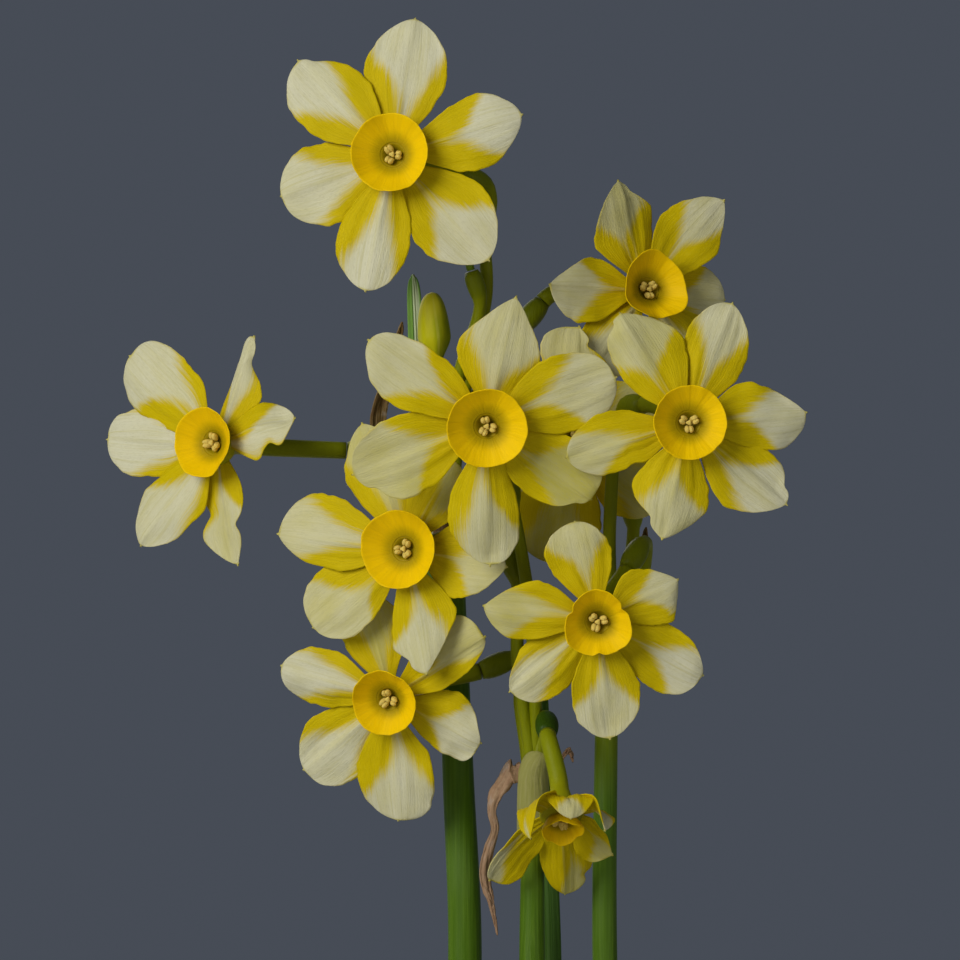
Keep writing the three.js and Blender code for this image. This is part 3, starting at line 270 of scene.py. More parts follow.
# The two powers of "hug" say how fast a wrap's width and its bend shrink towards its tail
BRACTS = [
    {"axis": (-21.2, 12, 322), "lean": 0.6, "radius": 3.95, "turn": 150, "bottom": 309, "half": 2.4,
     "close": 0.42, "hug": (0.5, 1), "twist": -30, "crease": 0.4, "dry": 1,
     "tail": [(-33, 15.4, 328), (-37.6, 16.4, 336), (-35, 15.6, 348), (-31.9, 14.4, 360)]},
    {"axis": (-1.6, -1, 252), "lean": 0, "radius": 3.6, "turn": 270, "bottom": 241, "half": 1,
     "close": 1, "hug": (0.4, 0.4), "crease": 0.12, "dry": 0, "strips": STRIPS,
     "tail": [(-1.4, -4.95, 256.5), (0.2, -5.3, 260.8)]},
    {"axis": (15.4, 4, 276), "lean": 0, "radius": 3.3, "turn": 60, "bottom": 267, "half": 2,
     "close": 0.4, "hug": (0.5, 1), "crease": 0.4, "dry": 1,
     "tail": [(18.4, 9.4, 284), (22.4, 11, 297), (24.2, 9.6, 306), (24.6, 7.6, 312.4)]},
]
WRAP = 2.1
BRACT_THICK = 0.35

# Metres and watts. Each light: its name, place, size and power
STAGE = {"camera": (-0.0138, -1.5, 0.3234), "lens": 244.6, "sensor": 36, "floor_radius": 2.4,
         "air": (0.0625, 0.0725, 0.0925, 1), "lit": (0, 0, 0.3),
         "lights": [("key", (-1.25, -1.5, 1.05), 1.3, 33), ("fill", (1.4, -1.6, 0.6), 1.4, 4),
                    ("back", (-0.8, 1.5, 1.1), 1.4, 7)]}


def smoothstep(low, high, value):
    t = min(1, max(0, (value - low) / (high - low)))
    return t * t * (3 - 2 * t)


def shares(steps):
    """Even shares from 0 to 1."""
    return [i / steps for i in range(steps + 1)]


def placed(name, bm):
    """Makes an object of a finished bmesh."""
    mesh = bpy.data.meshes.new(name)
    bm.to_mesh(mesh)
    bm.free()
    made = bpy.data.objects.new(name, mesh)
    bpy.context.scene.collection.objects.link(made)
    return made


class Route:
    """A smooth curve through points."""

    PARTS = 200
    NEAR = 1e-4

    def __init__(self, points):
        self.points = [Vector(p) for p in points]
        self.lengths = [0]
        last = self.at(0)
        for i in range(1, self.PARTS + 1):
            here = self.at(i / self.PARTS)
            self.lengths.append(self.lengths[-1] + (here - last).length)
            last = here

    def at(self, t):
        points = self.points
        place = min(1, max(0, t)) * (len(points) - 1)
        i = min(int(place), len(points) - 2)
        w = place - i
        b, c = points[i], points[i + 1]
        a = points[i - 1] if i > 0 else 2 * b - c
        d = points[i + 2] if i + 2 < len(points) else 2 * c - b
        before, span, after = ((q - p).length ** 0.5 for p, q in ((a, b), (b, c), (c, d)))
        leave = ((b - a) / before - (c - a) / (before + span) + (c - b) / span) * span
        arrive = ((c - b) / span - (d - b) / (span + after) + (d - c) / after) * span
        return (b + leave * w + (3 * (c - b) - 2 * leave - arrive) * w ** 2
                + (2 * (b - c) + leave + arrive) * w ** 3)

    def share(self, even):
        """The curve's own parameter for a place that is an even share of its length."""
        wanted = even * self.lengths[-1]
        i = 1
        while i < self.PARTS and self.lengths[i] < wanted:
            i += 1
        low, high = self.lengths[i - 1], self.lengths[i]
        return (i - 1 + (wanted - low) / (high - low)) / self.PARTS

    def evenly(self, steps):
        """Points at even distances along the curve."""
        return [self.at(self.share(s)) for s in shares(steps)]

    def heading(self, t):
        return (self.at(t + self.NEAR) - self.at(t - self.NEAR)).normalized()


def bezier(a, b, c, d, steps):
    """Points along a curve that leaves a towards b and comes to d from c."""
    return [a * (1 - t) ** 3 + b * 3 * t * (1 - t) ** 2 + c * 3 * t ** 2 * (1 - t) + d * t ** 3
            for t in shares(steps)]


def rings_along(points, radii):
    """A ring's matrix and radius at each point, turned as little as can be from one to the next."""
    heading = (points[1] - points[0]).normalized()
    turn = heading.to_track_quat("Z", "Y")
    rings = []
    for i, point in enumerate(points):
        ahead = points[min(i + 1, len(points) - 1)] - points[max(i - 1, 0)]
        ahead.normalize()
        turn = heading.rotation_difference(ahead) @ turn
        heading = ahead
        rings.append((Matrix.Translation(point) @ turn.to_matrix().to_4x4(), radii[i]))
    return rings


class Piece:
    """A mesh in the making. Its marks are numbers on its points that the materials read."""

    MERGE = 1e-4
    SLIVER = 1e-5

    def __init__(self, marks=()):
        self.bm = bmesh.new()
        self.marks = {name: self.bm.verts.layers.float.new(name) for name in marks}
        self.weight = self.bm.verts.layers.deform.verify()

    def set(self, verts, **marks):
        for name, value in marks.items():
            for vert in verts:
                vert[self.marks[name]] = value

    def sweep(self, rings, sides, shape=None, **marks):
        """Extrudes a round section from ring to ring. shape gives a factor for an angle and a step."""
        bm = self.bm
        made = bmesh.ops.create_circle(bm, cap_ends=True, radius=1, segments=sides)["verts"]
        cap = made[0].link_faces[0]
        verts, every = [loop.vert for loop in cap.loops], []
        for step, (matrix, radius) in enumerate(rings):
            if step:
                new = bmesh.ops.extrude_face_region(bm, geom=[cap], use_keep_orig=step == 1)["geom"]
                if step > 1 and cap.is_valid:
                    bmesh.ops.delete(bm, geom=[cap], context="FACES_ONLY")
                cap = next(part for part in new if isinstance(part, bmesh.types.BMFace))
                verts = [loop.vert for loop in cap.loops]
            for i, vert in enumerate(verts):
                angle = TAU * i / sides
                size = radius * (shape(angle, step / (len(rings) - 1)) if shape else 1)
                vert.co = matrix @ Vector((size * math.cos(angle), size * math.sin(angle), 0))
            every += verts
            for name, values in marks.items():
                self.set(verts, **{name: values[step] if isinstance(values, (list, tuple)) else values})
        return every

    def blade(self, fine, place, thin=0):
        """Lays a grid out as a blade; place gives a point and marks for a place across and along it."""
        verts = bmesh.ops.create_grid(self.bm, x_segments=fine[0], y_segments=fine[1], size=1)["verts"]
        for vert in verts:
            across, along = vert.co.x, (vert.co.y + 1) / 2
            vert.co, marks = place(across, along)
            self.set([vert], **marks)
            vert[self.weight][0] = 1 - thin * across * across
        return verts

    def spin(self, profile, steps):
        """Turns a profile of radius and height once round the upright axis."""
        verts = [self.bm.verts.new((r, 0, z)) for r, z in profile]
        edges = [self.bm.edges.new(pair) for pair in zip(verts, verts[1:])]
        bmesh.ops.spin(self.bm, geom=verts + edges, cent=(0, 0, 0), axis=(0, 0, 1), angle=TAU,
                       steps=steps, use_merge=True)

    def move(self, matrix, verts=None):
        bmesh.ops.transform(self.bm, matrix=matrix, verts=verts or self.bm.verts[:])

    def finish(self, name, material, nodes, thick=0):
        """Makes the object, in metres, and hands it to the frame."""
        bm = self.bm
        bmesh.ops.remove_doubles(bm, verts=bm.verts[:], dist=self.MERGE)
        bmesh.ops.dissolve_degenerate(bm, edges=bm.edges[:], dist=self.SLIVER)
        bmesh.ops.recalc_face_normals(bm, faces=bm.faces[:])
        bmesh.ops.scale(bm, vec=(MM, MM, MM), verts=bm.verts[:])
        for face in bm.faces:
            face.smooth = True
        piece = placed(name, bm)
        piece.data.materials.append(material)
        if thick:
            piece.vertex_groups.new(name="body")
            wall = piece.modifiers.new("Thickness", "SOLIDIFY")
            wall.thickness = thick * MM
            wall.offset = 0
            wall.vertex_group = "body"
        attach(piece, "root")
        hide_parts(*nodes)
        return piece


class Value:
    """A shader socket that can be used in arithmetic."""

    def __init__(self, shader, socket):
        self.shader, self.socket = shader, socket

    def math(self, operation, *others, first=None):
        values = [self, *others] if first is None else [first, self]
        return self.shader.node("ShaderNodeMath", {"operation": operation}, dict(enumerate(values)))

    def __add__(self, other):
        return self.math("ADD", other)

    def __sub__(self, other):
        return self.math("SUBTRACT", other)

    def __rsub__(self, other):
        return self.math("SUBTRACT", first=other)

    def __mul__(self, other):
        return self.math("MULTIPLY", other)

    def __abs__(self):
        return self.math("ABSOLUTE")

    __radd__ = __add__
    __rmul__ = __mul__

    def ramp(self, low, high):
        """Rises smoothly from 0 to 1 as this value goes from low to high."""
        return self.shader.node("ShaderNodeMapRange", {"interpolation_type": "SMOOTHSTEP"},
                                {0: self, 1: low, 2: high})


class Shader:
    """A procedural material."""

    def __init__(self, name):
        self.material = bpy.data.materials.new(name)
        self.material.use_nodes = True
        self.tree = self.material.node_tree
        self.tree.nodes.clear()

    def node(self, kind, settings=None, inputs=None, output=0):
        made = self.tree.nodes.new(kind)
        for name, value in (settings or {}).items():
            setattr(made, name, value)
        for key, value in (inputs or {}).items():
            if isinstance(value, Value):
                self.tree.links.new(value.socket, made.inputs[key])
            else:
                made.inputs[key].default_value = value
        return None if output is None else Value(self, made.outputs[output])

    def marks(self, *names):
        return [self.node("ShaderNodeAttribute", {"attribute_name": name}, output=2) for name in names]

    def place(self, stretch=(1, 1, 1)):
        """Places on the object, in millimetres, stretched along each axis."""
        where = self.node("ShaderNodeTexCoord", output=3)
        return self.node("ShaderNodeVectorMath", {"operation": "MULTIPLY"},
                         {0: where, 1: tuple(s / MM for s in stretch)})

    def join(self, x, y, z):
        return self.node("ShaderNodeCombineXYZ", inputs={0: x, 1: y, 2: z})

    def noise(self, where, scale, detail, roughness):
        return self.node("ShaderNodeTexNoise", inputs={
            "Vector": where, "Scale": scale, "Detail": detail, "Roughness": roughness})

    def mix(self, factor, a, b):
        """Mixes two colours."""
        pair = {6: a if isinstance(a, Value) else (*a, 1), 7: b if isinstance(b, Value) else (*b, 1)}
        return self.node("ShaderNodeMix", {"data_type": "RGBA", "clamp_factor": True},
                         {0: factor, **pair}, output=2)

    def layers(self, color, *coats):
        """Lays coats over a colour. Each coat has a name, how far it covers, and its colour."""
        for name, cover, coat in coats:
            color = self.mix(cover, color, coat)
            color.socket.node.label = name
        return color

    def bump(self, height, distance, strength):
        return self.node("ShaderNodeBump", inputs={
            "Strength": strength, "Distance": distance * MM, "Height": height})

    def surface(self, color, roughness, normal=None, **values):
        inputs = {"Base Color": color, "Roughness": roughness}
        if normal:
            inputs["Normal"] = normal
        inputs.update({name.replace("_", " "): value for name, value in values.items()})
        shown = self.node("ShaderNodeBsdfPrincipled", inputs=inputs)
        self.node("ShaderNodeOutputMaterial", inputs={0: shown}, output=None)
        return self.material


def colour(name, text, value):
    return FloatVectorProperty(name=name, description=text, subtype="COLOR", default=value, min=0, max=1)


class DaffodilPetals(bpy.types.PropertyGroup):
    """Sizes and colours of the flowers."""

    white: colour("White", "Colour of the middle and tip of a tepal", (0.65, 0.62, 0.42))
    cream: colour("Cream", "Colour of a tepal's middle where it is yellower", (0.5, 0.43, 0.03))
    yellow: colour("Yellow", "Colour of a tepal's base and sides", (0.6, 0.45, 0))
    cup: colour("Cup", "Colour of the cup", (0.9, 0.58, 0))
    cup_deep: colour("Cup's foot", "Colour of the cup's foot", (0.34, 0.24, 0))
    throat: colour("Throat", "Colour inside the throat", (0.25, 0.19, 0.003))
    pollen: colour("Pollen", "Colour of the anthers", (0.72, 0.52, 0.09))
    thick: FloatProperty(name="Thickness", description="Thickness of a tepal in its middle", unit="LENGTH",
                         default=0.5 * MM, min=0.2 * MM, max=1 * MM)
    wave: FloatProperty(name="Wave", description="Height of the waves along a tepal's edges",
                        unit="LENGTH", default=0.45 * MM, min=0, max=2 * MM)


class DaffodilGreens(bpy.types.PropertyGroup):
    """Colours of the stems, leaves and bracts."""

    stem: colour("Stem", "Colour of the flower stems", (0.062, 0.13, 0.004))
    young: colour("Stalk", "Colour of the flowers' stalks and tubes", (0.21, 0.23, 0.001))
    ovary: colour("Ovary", "Colour of the ovaries", (0.03, 0.065, 0.002))
    leaf: colour("Leaf", "Colour of the leaves", (0.04, 0.1, 0.008))
    bud: colour("Bud", "Colour of the buds", (0.38, 0.38, 0.005))
    paper: colour("Bract", "Colour of the dry bracts", (0.34, 0.2, 0.11))


class DaffodilGround(bpy.types.PropertyGroup):
    """Colours of the pot, the compost and the bulbs."""

    clay: colour("Clay", "Colour of the pot", (0.44, 0.165, 0.075))
    soil: colour("Compost", "Colour of the compost", (0.03, 0.019, 0.012))
    tunic: colour("Bulb skin", "Colour of the bulbs' dry skin", (0.19, 0.09, 0.035))


def petal_material(looks):
    """Silky tepals: a yellow base and sides, a white wedge and tip, and fine veins along them."""
    shader = Shader("tepal")
    across, lane, along, flank, tone, cream = shader.marks(
        "across", "lane", "along", "flank", "tone", "cream")

    def pattern(wide, long, shift, roughness=0.6):
        """Noise that follows the tepal, with a fineness across it and one along it."""
        return shader.noise(shader.join(lane * wide, along * long, tone * 40 + shift), 1, 2, roughness)

    veins, fine = pattern(15, 0.9, 0, 0.65), pattern(48, 2, 9)
    blotch, crepe = pattern(2.2, 3, 5, 0.5), pattern(30, 26, 3)
    streaks = veins.ramp(0.48, 0.7) * 0.3 + fine.ramp(0.48, 0.7) * 0.25
    pale = shader.layers(
        looks.white,
        ("Cream", cream * 1.5 + (blotch - 0.5) * 0.6, looks.cream),
        ("Streaks", streaks, (0.5, 0.45, 0.16)),
        ("Crepe", crepe.ramp(0.5, 0.7) * 0.25, (0.44, 0.41, 0.24)))
    warm = shader.layers(
        looks.yellow,
        ("Veins", fine.ramp(0.4, 0.7) * 0.45, (0.45, 0.33, 0)),
        ("Crepe", crepe.ramp(0.5, 0.7) * 0.25, (0.66, 0.53, 0.02)))
    wedge = flank + (veins - 0.5) * 0.5 + (fine - 0.5) * 0.35 + (blotch - 0.5) * 0.3
    color = shader.layers(
        warm,
        ("White wedge", wedge.ramp(-0.2, 0.2), pale),
        ("Margin", abs(across).ramp(0.92, 1) * along.ramp(0.97, 0.7) * 0.4, looks.yellow),
        ("Point", along.ramp(0.96, 0.985) * 0.7, (0.5, 0.42, 0.04)),
        ("Midrib", abs(lane).ramp(0.06, 0) * along.ramp(1, 0.2) * 0.3, (0.6, 0.54, 0.17)),
        ("Foot", along.ramp(0.2, 0) * 0.5, (0.36, 0.29, 0)))
    relief = veins * 0.35 + fine * 0.3 + crepe * 0.35
    return shader.surface(color, 0.6, shader.bump(relief, 0.3, 0.8), Specular_IOR_Level=0.07)


def cup_material(looks):
    """The cup: deep yellow with radial folds, browner towards its foot."""
    shader = Shader("cup")
    spread, around, tone = shader.marks("spread", "around", "tone")
    folds = shader.noise(shader.join(around * 9, spread * 0.5, tone * 30), 1, 2, 0.6)
    grain = shader.noise(shader.place((0.9, 0.9, 0.9)), 1.4, 3, 0.6)
    color = shader.layers(
        looks.cup,
        ("Folds", folds.ramp(0.4, 0.75) * 0.35, (0.72, 0.46, 0.003)),
        ("Grain", grain.ramp(0.5, 0.8) * 0.2, (0.82, 0.58, 0.02)),
        ("Inner half", spread.ramp(0.75, 0.1) * 0.5, (0.6, 0.4, 0)),
        ("Foot", (spread + (folds - 0.5) * 0.2).ramp(0.5, 0) * 0.95, looks.cup_deep))
    relief = folds * 0.7 + grain * 0.3
    return shader.surface(color, 0.55, shader.bump(relief, 0.25, 0.7), Specular_IOR_Level=0.07)


def pollen_material(looks):
    """Powdery anthers."""
    shader = Shader("pollen")
    grain = shader.noise(shader.place(), 9, 3, 0.7)
    color = shader.mix(grain.ramp(0.35, 0.7), looks.pollen, (0.78, 0.62, 0.18))
    return shader.surface(color, 0.8, shader.bump(grain, 0.12, 0.9), Specular_IOR_Level=0.1)


def stem_material(looks):
    """Smooth stems with lengthwise lines, more olive on the flowers' own stalks and dark at the ovary."""
    shader = Shader("stem")
    ripe, young = shader.marks("ripe", "young")
    lines = shader.noise(shader.place((1.5, 1.5, 0.035)), 1, 3, 0.6)
    bloom = shader.noise(shader.place((0.16, 0.16, 0.05)), 1, 2, 0.5)
    dots = shader.noise(shader.place(), 2.6, 2, 0.6)
    color = shader.layers(
        looks.stem,
        ("Lines", lines.ramp(0.35, 0.7) * 0.6, (0.11, 0.2, 0.012)),
        ("Bloom", bloom.ramp(0.45, 0.75) * 0.35, (0.1, 0.17, 0.03)),
        ("Stalk", young, looks.young),
        ("Ovary", ripe, looks.ovary),
        ("Dots", dots.ramp(0.62, 0.75) * 0.2, (0.16, 0.24, 0.04)))
    return shader.surface(color, 0.42, shader.bump(lines, 0.3, 0.6), Specular_IOR_Level=0.12)


def tube_material(looks, rim, throat):
    """The flower's tube: olive green, yellower where it spreads and in the throat."""
    shader = Shader("tube")
    along, flared = shader.marks("along", "flared")
    lines = shader.noise(shader.place((1.2, 1.2, 1.2)), 1, 2, 0.6)
    color = shader.layers(
        looks.young,
        ("Spread", along.ramp(0.3, 0.8), (0.36, 0.32, 0.002)),
        ("Lines", lines.ramp(0.45, 0.75) * 0.3, (0.24, 0.27, 0.01)),
        ("Lip", flared.ramp(0.5, 0.6), rim),
        ("Throat", flared.ramp(0.66, 0.86), throat))
    return shader.surface(color, 0.5, shader.bump(lines, 0.15, 0.5), Specular_IOR_Level=0.1)


def leaf_material(looks):
    """Strap leaves: fine parallel veins, a bluish bloom and a paler keel; the first tall leaf is a lighter
    green towards its end, with a painted highlight along it.
    """
    shader = Shader("leaf")
    across, along, tone, fresh, stripe = shader.marks("across", "along", "tone", "fresh", "stripe")
    veins = shader.noise(shader.join(across * 12, along * 3, tone * 30), 1, 2, 0.6)
    patches = shader.noise(shader.place((0.08, 0.08, 0.03)), 1, 3, 0.5)
    color = shader.layers(
        looks.leaf,
        ("Veins", veins.ramp(0.35, 0.7) * 0.7, (0.08, 0.17, 0.02)),
        ("Bloom", patches.ramp(0.4, 0.7) * 0.3, (0.07, 0.14, 0.04)),
        ("Keel", abs(across).ramp(0.12, 0) * 0.3, (0.12, 0.21, 0.05)),
        # The first tall leaf is a lighter green towards its end.
        ("Lighter end", fresh, (0.19, 0.36, 0.06)),
        # Painted highlight: a pale streak along the upper part of the first tall leaf, standing in for light
        # caught on its hollow side.
        ("Painted highlight", stripe, (0.6, 0.68, 0.4)),
        ("Root", along.ramp(0.16, 0.02), (0.3, 0.34, 0.16)),
        ("Tip", along.ramp(0.975, 1) * 0.6, (0.03, 0.07, 0.005)))
    return shader.surface(color, 0.5, shader.bump(veins, 0.35, 0.8), Specular_IOR_Level=0.12)


def bud_material(looks):
    """A closed bud: yellow-green, with the cream edges of its folded tepals; its -X side is painted lighter
    and yellower as painted light, and its +X side darker green as painted shade.
    """
    shader = Shader("bud")
    around, along = shader.marks("around", "along")
    lines = shader.noise(shader.join(around * 3, along * 2.4, 3), 1.5, 2, 0.6)
    upper = along.ramp(0.38, 0.55)
    fold = abs(around - 0.4 - (along - 0.7) * 0.2).ramp(0.06, 0.02)
    color = shader.layers(
        (0.13, 0.2, 0.004),
        ("Bud", along.ramp(0.25, 0.5), looks.bud),
        ("Lines", lines.ramp(0.4, 0.7) * 0.4, (0.2, 0.28, 0.003)),
        # Painted light: the side towards the key light (-X) is painted lighter and yellower.
        ("Painted lit side", around.ramp(0.35, 0.6) * upper * 0.7, (0.6, 0.55, 0.004)),
        ("Tip", along.ramp(0.7, 0.92) * 0.8, (0.62, 0.55, 0.02)),
        ("Edge", around.ramp(0.85, 0.96) * upper * 0.3, (0.5, 0.46, 0.1)),
        ("Fold", fold * upper * 0.3, (0.6, 0.56, 0.1)),
        # Painted shade: the side away from the key light (+X) is painted darker green.
        ("Painted shaded side", around.ramp(0.28, 0.05) * 0.7, (0.12, 0.16, 0.003)))
    return shader.surface(color, 0.45, shader.bump(lines, 0.25, 0.6), Specular_IOR_Level=0.12)


def paper_material(name, fresh, dry):
    """Dry bracts: papery, fibrous and browned, greener where they are still fresh."""
    shader = Shader(name)
    across, along, tone = shader.marks("across", "along", "tone")
    fibres = shader.noise(shader.join(across * 7, along * 1.6, tone * 9 + 2), 1, 3, 0.65)
    blotch = shader.noise(shader.place(), 0.3, 3, 0.6)
    color = shader.layers(
        fresh,
        ("Dry", tone, dry),
        ("Fibres", fibres.ramp(0.35, 0.7) * 0.16, (0.6, 0.52, 0.3)),
        ("Brown blotches", blotch.ramp(0.45, 0.7) * 0.5 * tone, (0.15, 0.07, 0.03)),
        ("Pale blotches", blotch.ramp(0.45, 0.3) * 0.4 * tone, (0.42, 0.36, 0.3)))
    relief = fibres * 0.7 + blotch * 0.3
    return shader.surface(color, 0.62, shader.bump(relief, 0.5, 0.8), Specular_IOR_Level=0.15)


def tunic_material(looks):
    """The bulbs' papery brown skin."""
    shader = Shader("tunic")
    fibres = shader.noise(shader.place((1.1, 1.1, 0.06)), 1, 4, 0.65)
    patches = shader.noise(shader.place(), 0.12, 3, 0.6)
    color = shader.layers(
        looks.tunic,
        ("Fibres", fibres.ramp(0.35, 0.7), (0.34, 0.19, 0.08)),
        ("Dark patches", patches.ramp(0.5, 0.7) * 0.7, (0.09, 0.04, 0.02)))
    return shader.surface(color, 0.6, shader.bump(fibres, 0.5, 0.9))


def soil_material(looks):
    """Moist compost with fibres and pale specks."""
    shader = Shader("compost")
    bark = shader.marks("tone")[0]
    fine = shader.noise(shader.place(), 1.6, 5, 0.7)
    clods = shader.noise(shader.place(), 0.28, 4, 0.6)
    color = shader.layers(
        looks.soil,
        ("Clods", clods.ramp(0.35, 0.7), (0.07, 0.043, 0.026)),
        ("Specks", fine.ramp(0.55, 0.75) * 0.6, (0.14, 0.09, 0.05)),
        ("Bark", bark, (0.2, 0.12, 0.06)))
    return shader.surface(color, 0.92, shader.bump(fine * 0.6 + clods * 0.4, 1.1, 1))


def clay_material(looks):
    """Fired clay: matt, slightly uneven, with pores, faint turning lines and a pale bloom of lime."""
    shader = Shader("clay")
    lines = shader.noise(shader.place((0.012, 0.012, 1.3)), 1, 3, 0.6)
    cloud = shader.noise(shader.place(), 0.035, 4, 0.55)
    pores = shader.noise(shader.place(), 2.4, 3, 0.7)
    lime = shader.noise(shader.place((0.06, 0.06, 0.02)), 1, 5, 0.7)
    color = shader.layers(
        looks.clay,
        ("Uneven firing", cloud.ramp(0.35, 0.7), (0.34, 0.115, 0.05)),
        ("Turning lines", lines.ramp(0.45, 0.75) * 0.3, (0.52, 0.23, 0.12)),
        ("Lime", lime.ramp(0.56, 0.72) * 0.4, (0.6, 0.43, 0.32)),
        ("Pores", pores.ramp(0.64, 0.74) * 0.4, (0.2, 0.07, 0.03)))
    return shader.surface(color, 0.86, shader.bump(pores * 0.5 + lines * 0.5, 0.35, 0.7))


def facing(flower):
    """The flower's own frame: X to its right, Y up its face, Z the way it looks."""
    turn, tilt = rad(flower["yaw"]), rad(flower["pitch"])
    look = Vector((math.sin(turn) * math.cos(tilt), -math.cos(turn) * math.cos(tilt), math.sin(tilt)))
    right = Vector((math.cos(turn), math.sin(turn), 0))
    spin = Matrix((right, look.cross(right), look)).transposed().to_4x4()
    return Matrix.Translation(flower["at"]) @ spin


def edge_width(edge, s):
    """A tepal's width to one side of its middle at a place along it."""
    width, widest, left = edge
    s /= TEPAL["body_end"]
    if s >= 1:
        return 0
    if s < widest:
        return TEPAL["foot"] + (width - TEPAL["foot"]) * math.sin(math.pi / 2 * s / widest) ** TEPAL["swell"]
    blunt = max(TEPAL["least_blunt"], TEPAL["blunt"] - left)
    near = (TEPAL["near_tip"] / TEPAL["body_end"] - widest) / (1 - widest)
    power = math.log(math.acos(left ** (1 / blunt)) / (math.pi / 2)) / math.log(near)
    return width * math.cos(math.pi / 2 * ((s - widest) / (1 - widest)) ** power) ** blunt


def wedge_side(foot, end, s):
    """How far to one side the white reaches at a place along a tepal, where 1 is its edge."""
    opened = max(0, (s - WEDGE["start"]) / (end - WEDGE["start"]))
    return foot + (WEDGE["full"] - foot) * opened ** WEDGE["curve"]


def dented(dents, across, s):
    """The share of a tepal's width that its dents leave."""
    left = 1
    for side, place, spread, depth in dents:
        if across * side > 0:
            left -= depth * math.exp(-((s - place) / spread) ** 2)
    return left


def tepal_place(values, number, seed, wave, dents):
    """Gives the place on a tepal for a place across and along it, in the flower's frame."""
    direction, length, rise, bend, twist, left, right, wedge, whiteness = values
    rng = random.Random(seed)
    layer = 1 if number % 2 == 1 else -1
    heading = Vector((math.cos(rad(direction)), math.sin(rad(direction)), 0))
    side = Vector((-heading.y, heading.x, 0))
    reach, rise = length - TEPAL["root"], rad(rise)
    bend = rad(bend or TEPAL["least_bend"])
    turn = rng.uniform(0, TAU)
    count, lift, curl = rng.uniform(1.6, 2.6), rng.uniform(0.6, 1.2), rng.uniform(-0.5, 0.5)
    keel = rng.uniform(-0.8, 1.6)
    tone = rng.random()

    def half_width(across, s):
        ruffle = sum(high * noise.noise(Vector((s * fine, across > 0, seed))) for fine, high in RUFFLES)
        ruffled = 1 + ruffle * smoothstep(0.15, 0.4, s)
        return edge_width(left if across > 0 else right, s) * ruffled * dented(dents, across, s)

    def sunk(across, lane, s, full):
        """How far the surface lies behind the tepal's middle line."""
        sink = layer * TEPAL["bow"] * s * s * full * across * across / 2
        ripple = wave * across * across * math.sin(TAU * count * s + turn + (2 if across > 0 else 0))
        sink += ripple * smoothstep(0.15, 0.5, s) * min(1, 2.4 * (1 - s) + 0.2) * lift
        pleats = sum(high * noise.noise(Vector((lane * fine, s * 1.6, seed))) for fine, high in PLEATS)
        rib = 0.3 * math.exp(-(across / 0.1) ** 2) * smoothstep(1, 0.3, s)
        sink -= (pleats * (1 - across * across) * smoothstep(0, 0.2, s) + rib) * min(1, full / 5)
        sink += keel * (abs(lane) ** 1.3 - 0.3) * smoothstep(0.1, 0.4, s) * smoothstep(1, 0.75, s)
        return sink + curl * smoothstep(0.75, 1, s) * 0.8

    def place(across, row):
        s = math.sin(math.pi / 2 * row)
        end = rise + bend * s
        out = TEPAL["root"] + reach * (math.sin(end) - math.sin(rise)) / bend
        up = layer * TEPAL["whorl"] + reach * (math.cos(rise) - math.cos(end)) / bend
        ahead = heading * math.cos(end) + Vector((0, 0, math.sin(end)))
        beside = side.copy()
        beside.rotate(Quaternion(ahead, rad(twist) * s))
        half = half_width(across, s)
        width, widest, _ = left if across > 0 else right
        lane = across * (min(1, half / width) ** 0.75 if s > widest else 1)
        if s > TEPAL["nub_from"]:
            half = max(half, TEPAL["nub"] * (1 - ((s - TEPAL["nub_from"]) / (1 - TEPAL["nub_from"])) ** 2))
        full = half * abs(across) + 0.5 * (1 - abs(across)) * sum(edge_width(e, s) for e in (left, right))
        reached = min(wedge_side(wedge[0], wedge[2], s) - across, wedge_side(wedge[1], wedge[3], s) + across)
        marks = {"across": across, "lane": lane, "along": s, "tone": tone,
                 "flank": max(-1, min(1, reached)), "cream": 1 - whiteness}
        middle = heading * out + Vector((0, 0, up))
        return middle + beside * (half * across) + beside.cross(ahead) * sunk(across, lane, s, full), marks

    return place


class DAFFODIL_OT_tepals(bpy.types.Operator):
    """Makes each flower's six tepals"""

    bl_idname = "daffodil.tepals"
    bl_label = "Tepals"

    def execute(self, context):
        looks = context.scene.daffodil_petals
        material = petal_material(looks)
        for index, flower in enumerate(FLOWERS):
            piece = Piece(("across", "lane", "along", "tone", "flank", "cream"))
            for number, values in enumerate(flower["tepals"]):
                place = tepal_place(values, number, 100 * index + number, looks.wave / MM,
                                    DENTS.get((index, number), ()))
                piece.blade(FINE["tepal"], place, TEPAL["thin"])
            piece.move(facing(flower))
            piece.finish(f"flower_{index + 1:02d}_tepals", material,
                         [f"bloom_{index + 1:02d}_tepals"], thick=looks.thick / MM)
        return {"FINISHED"}


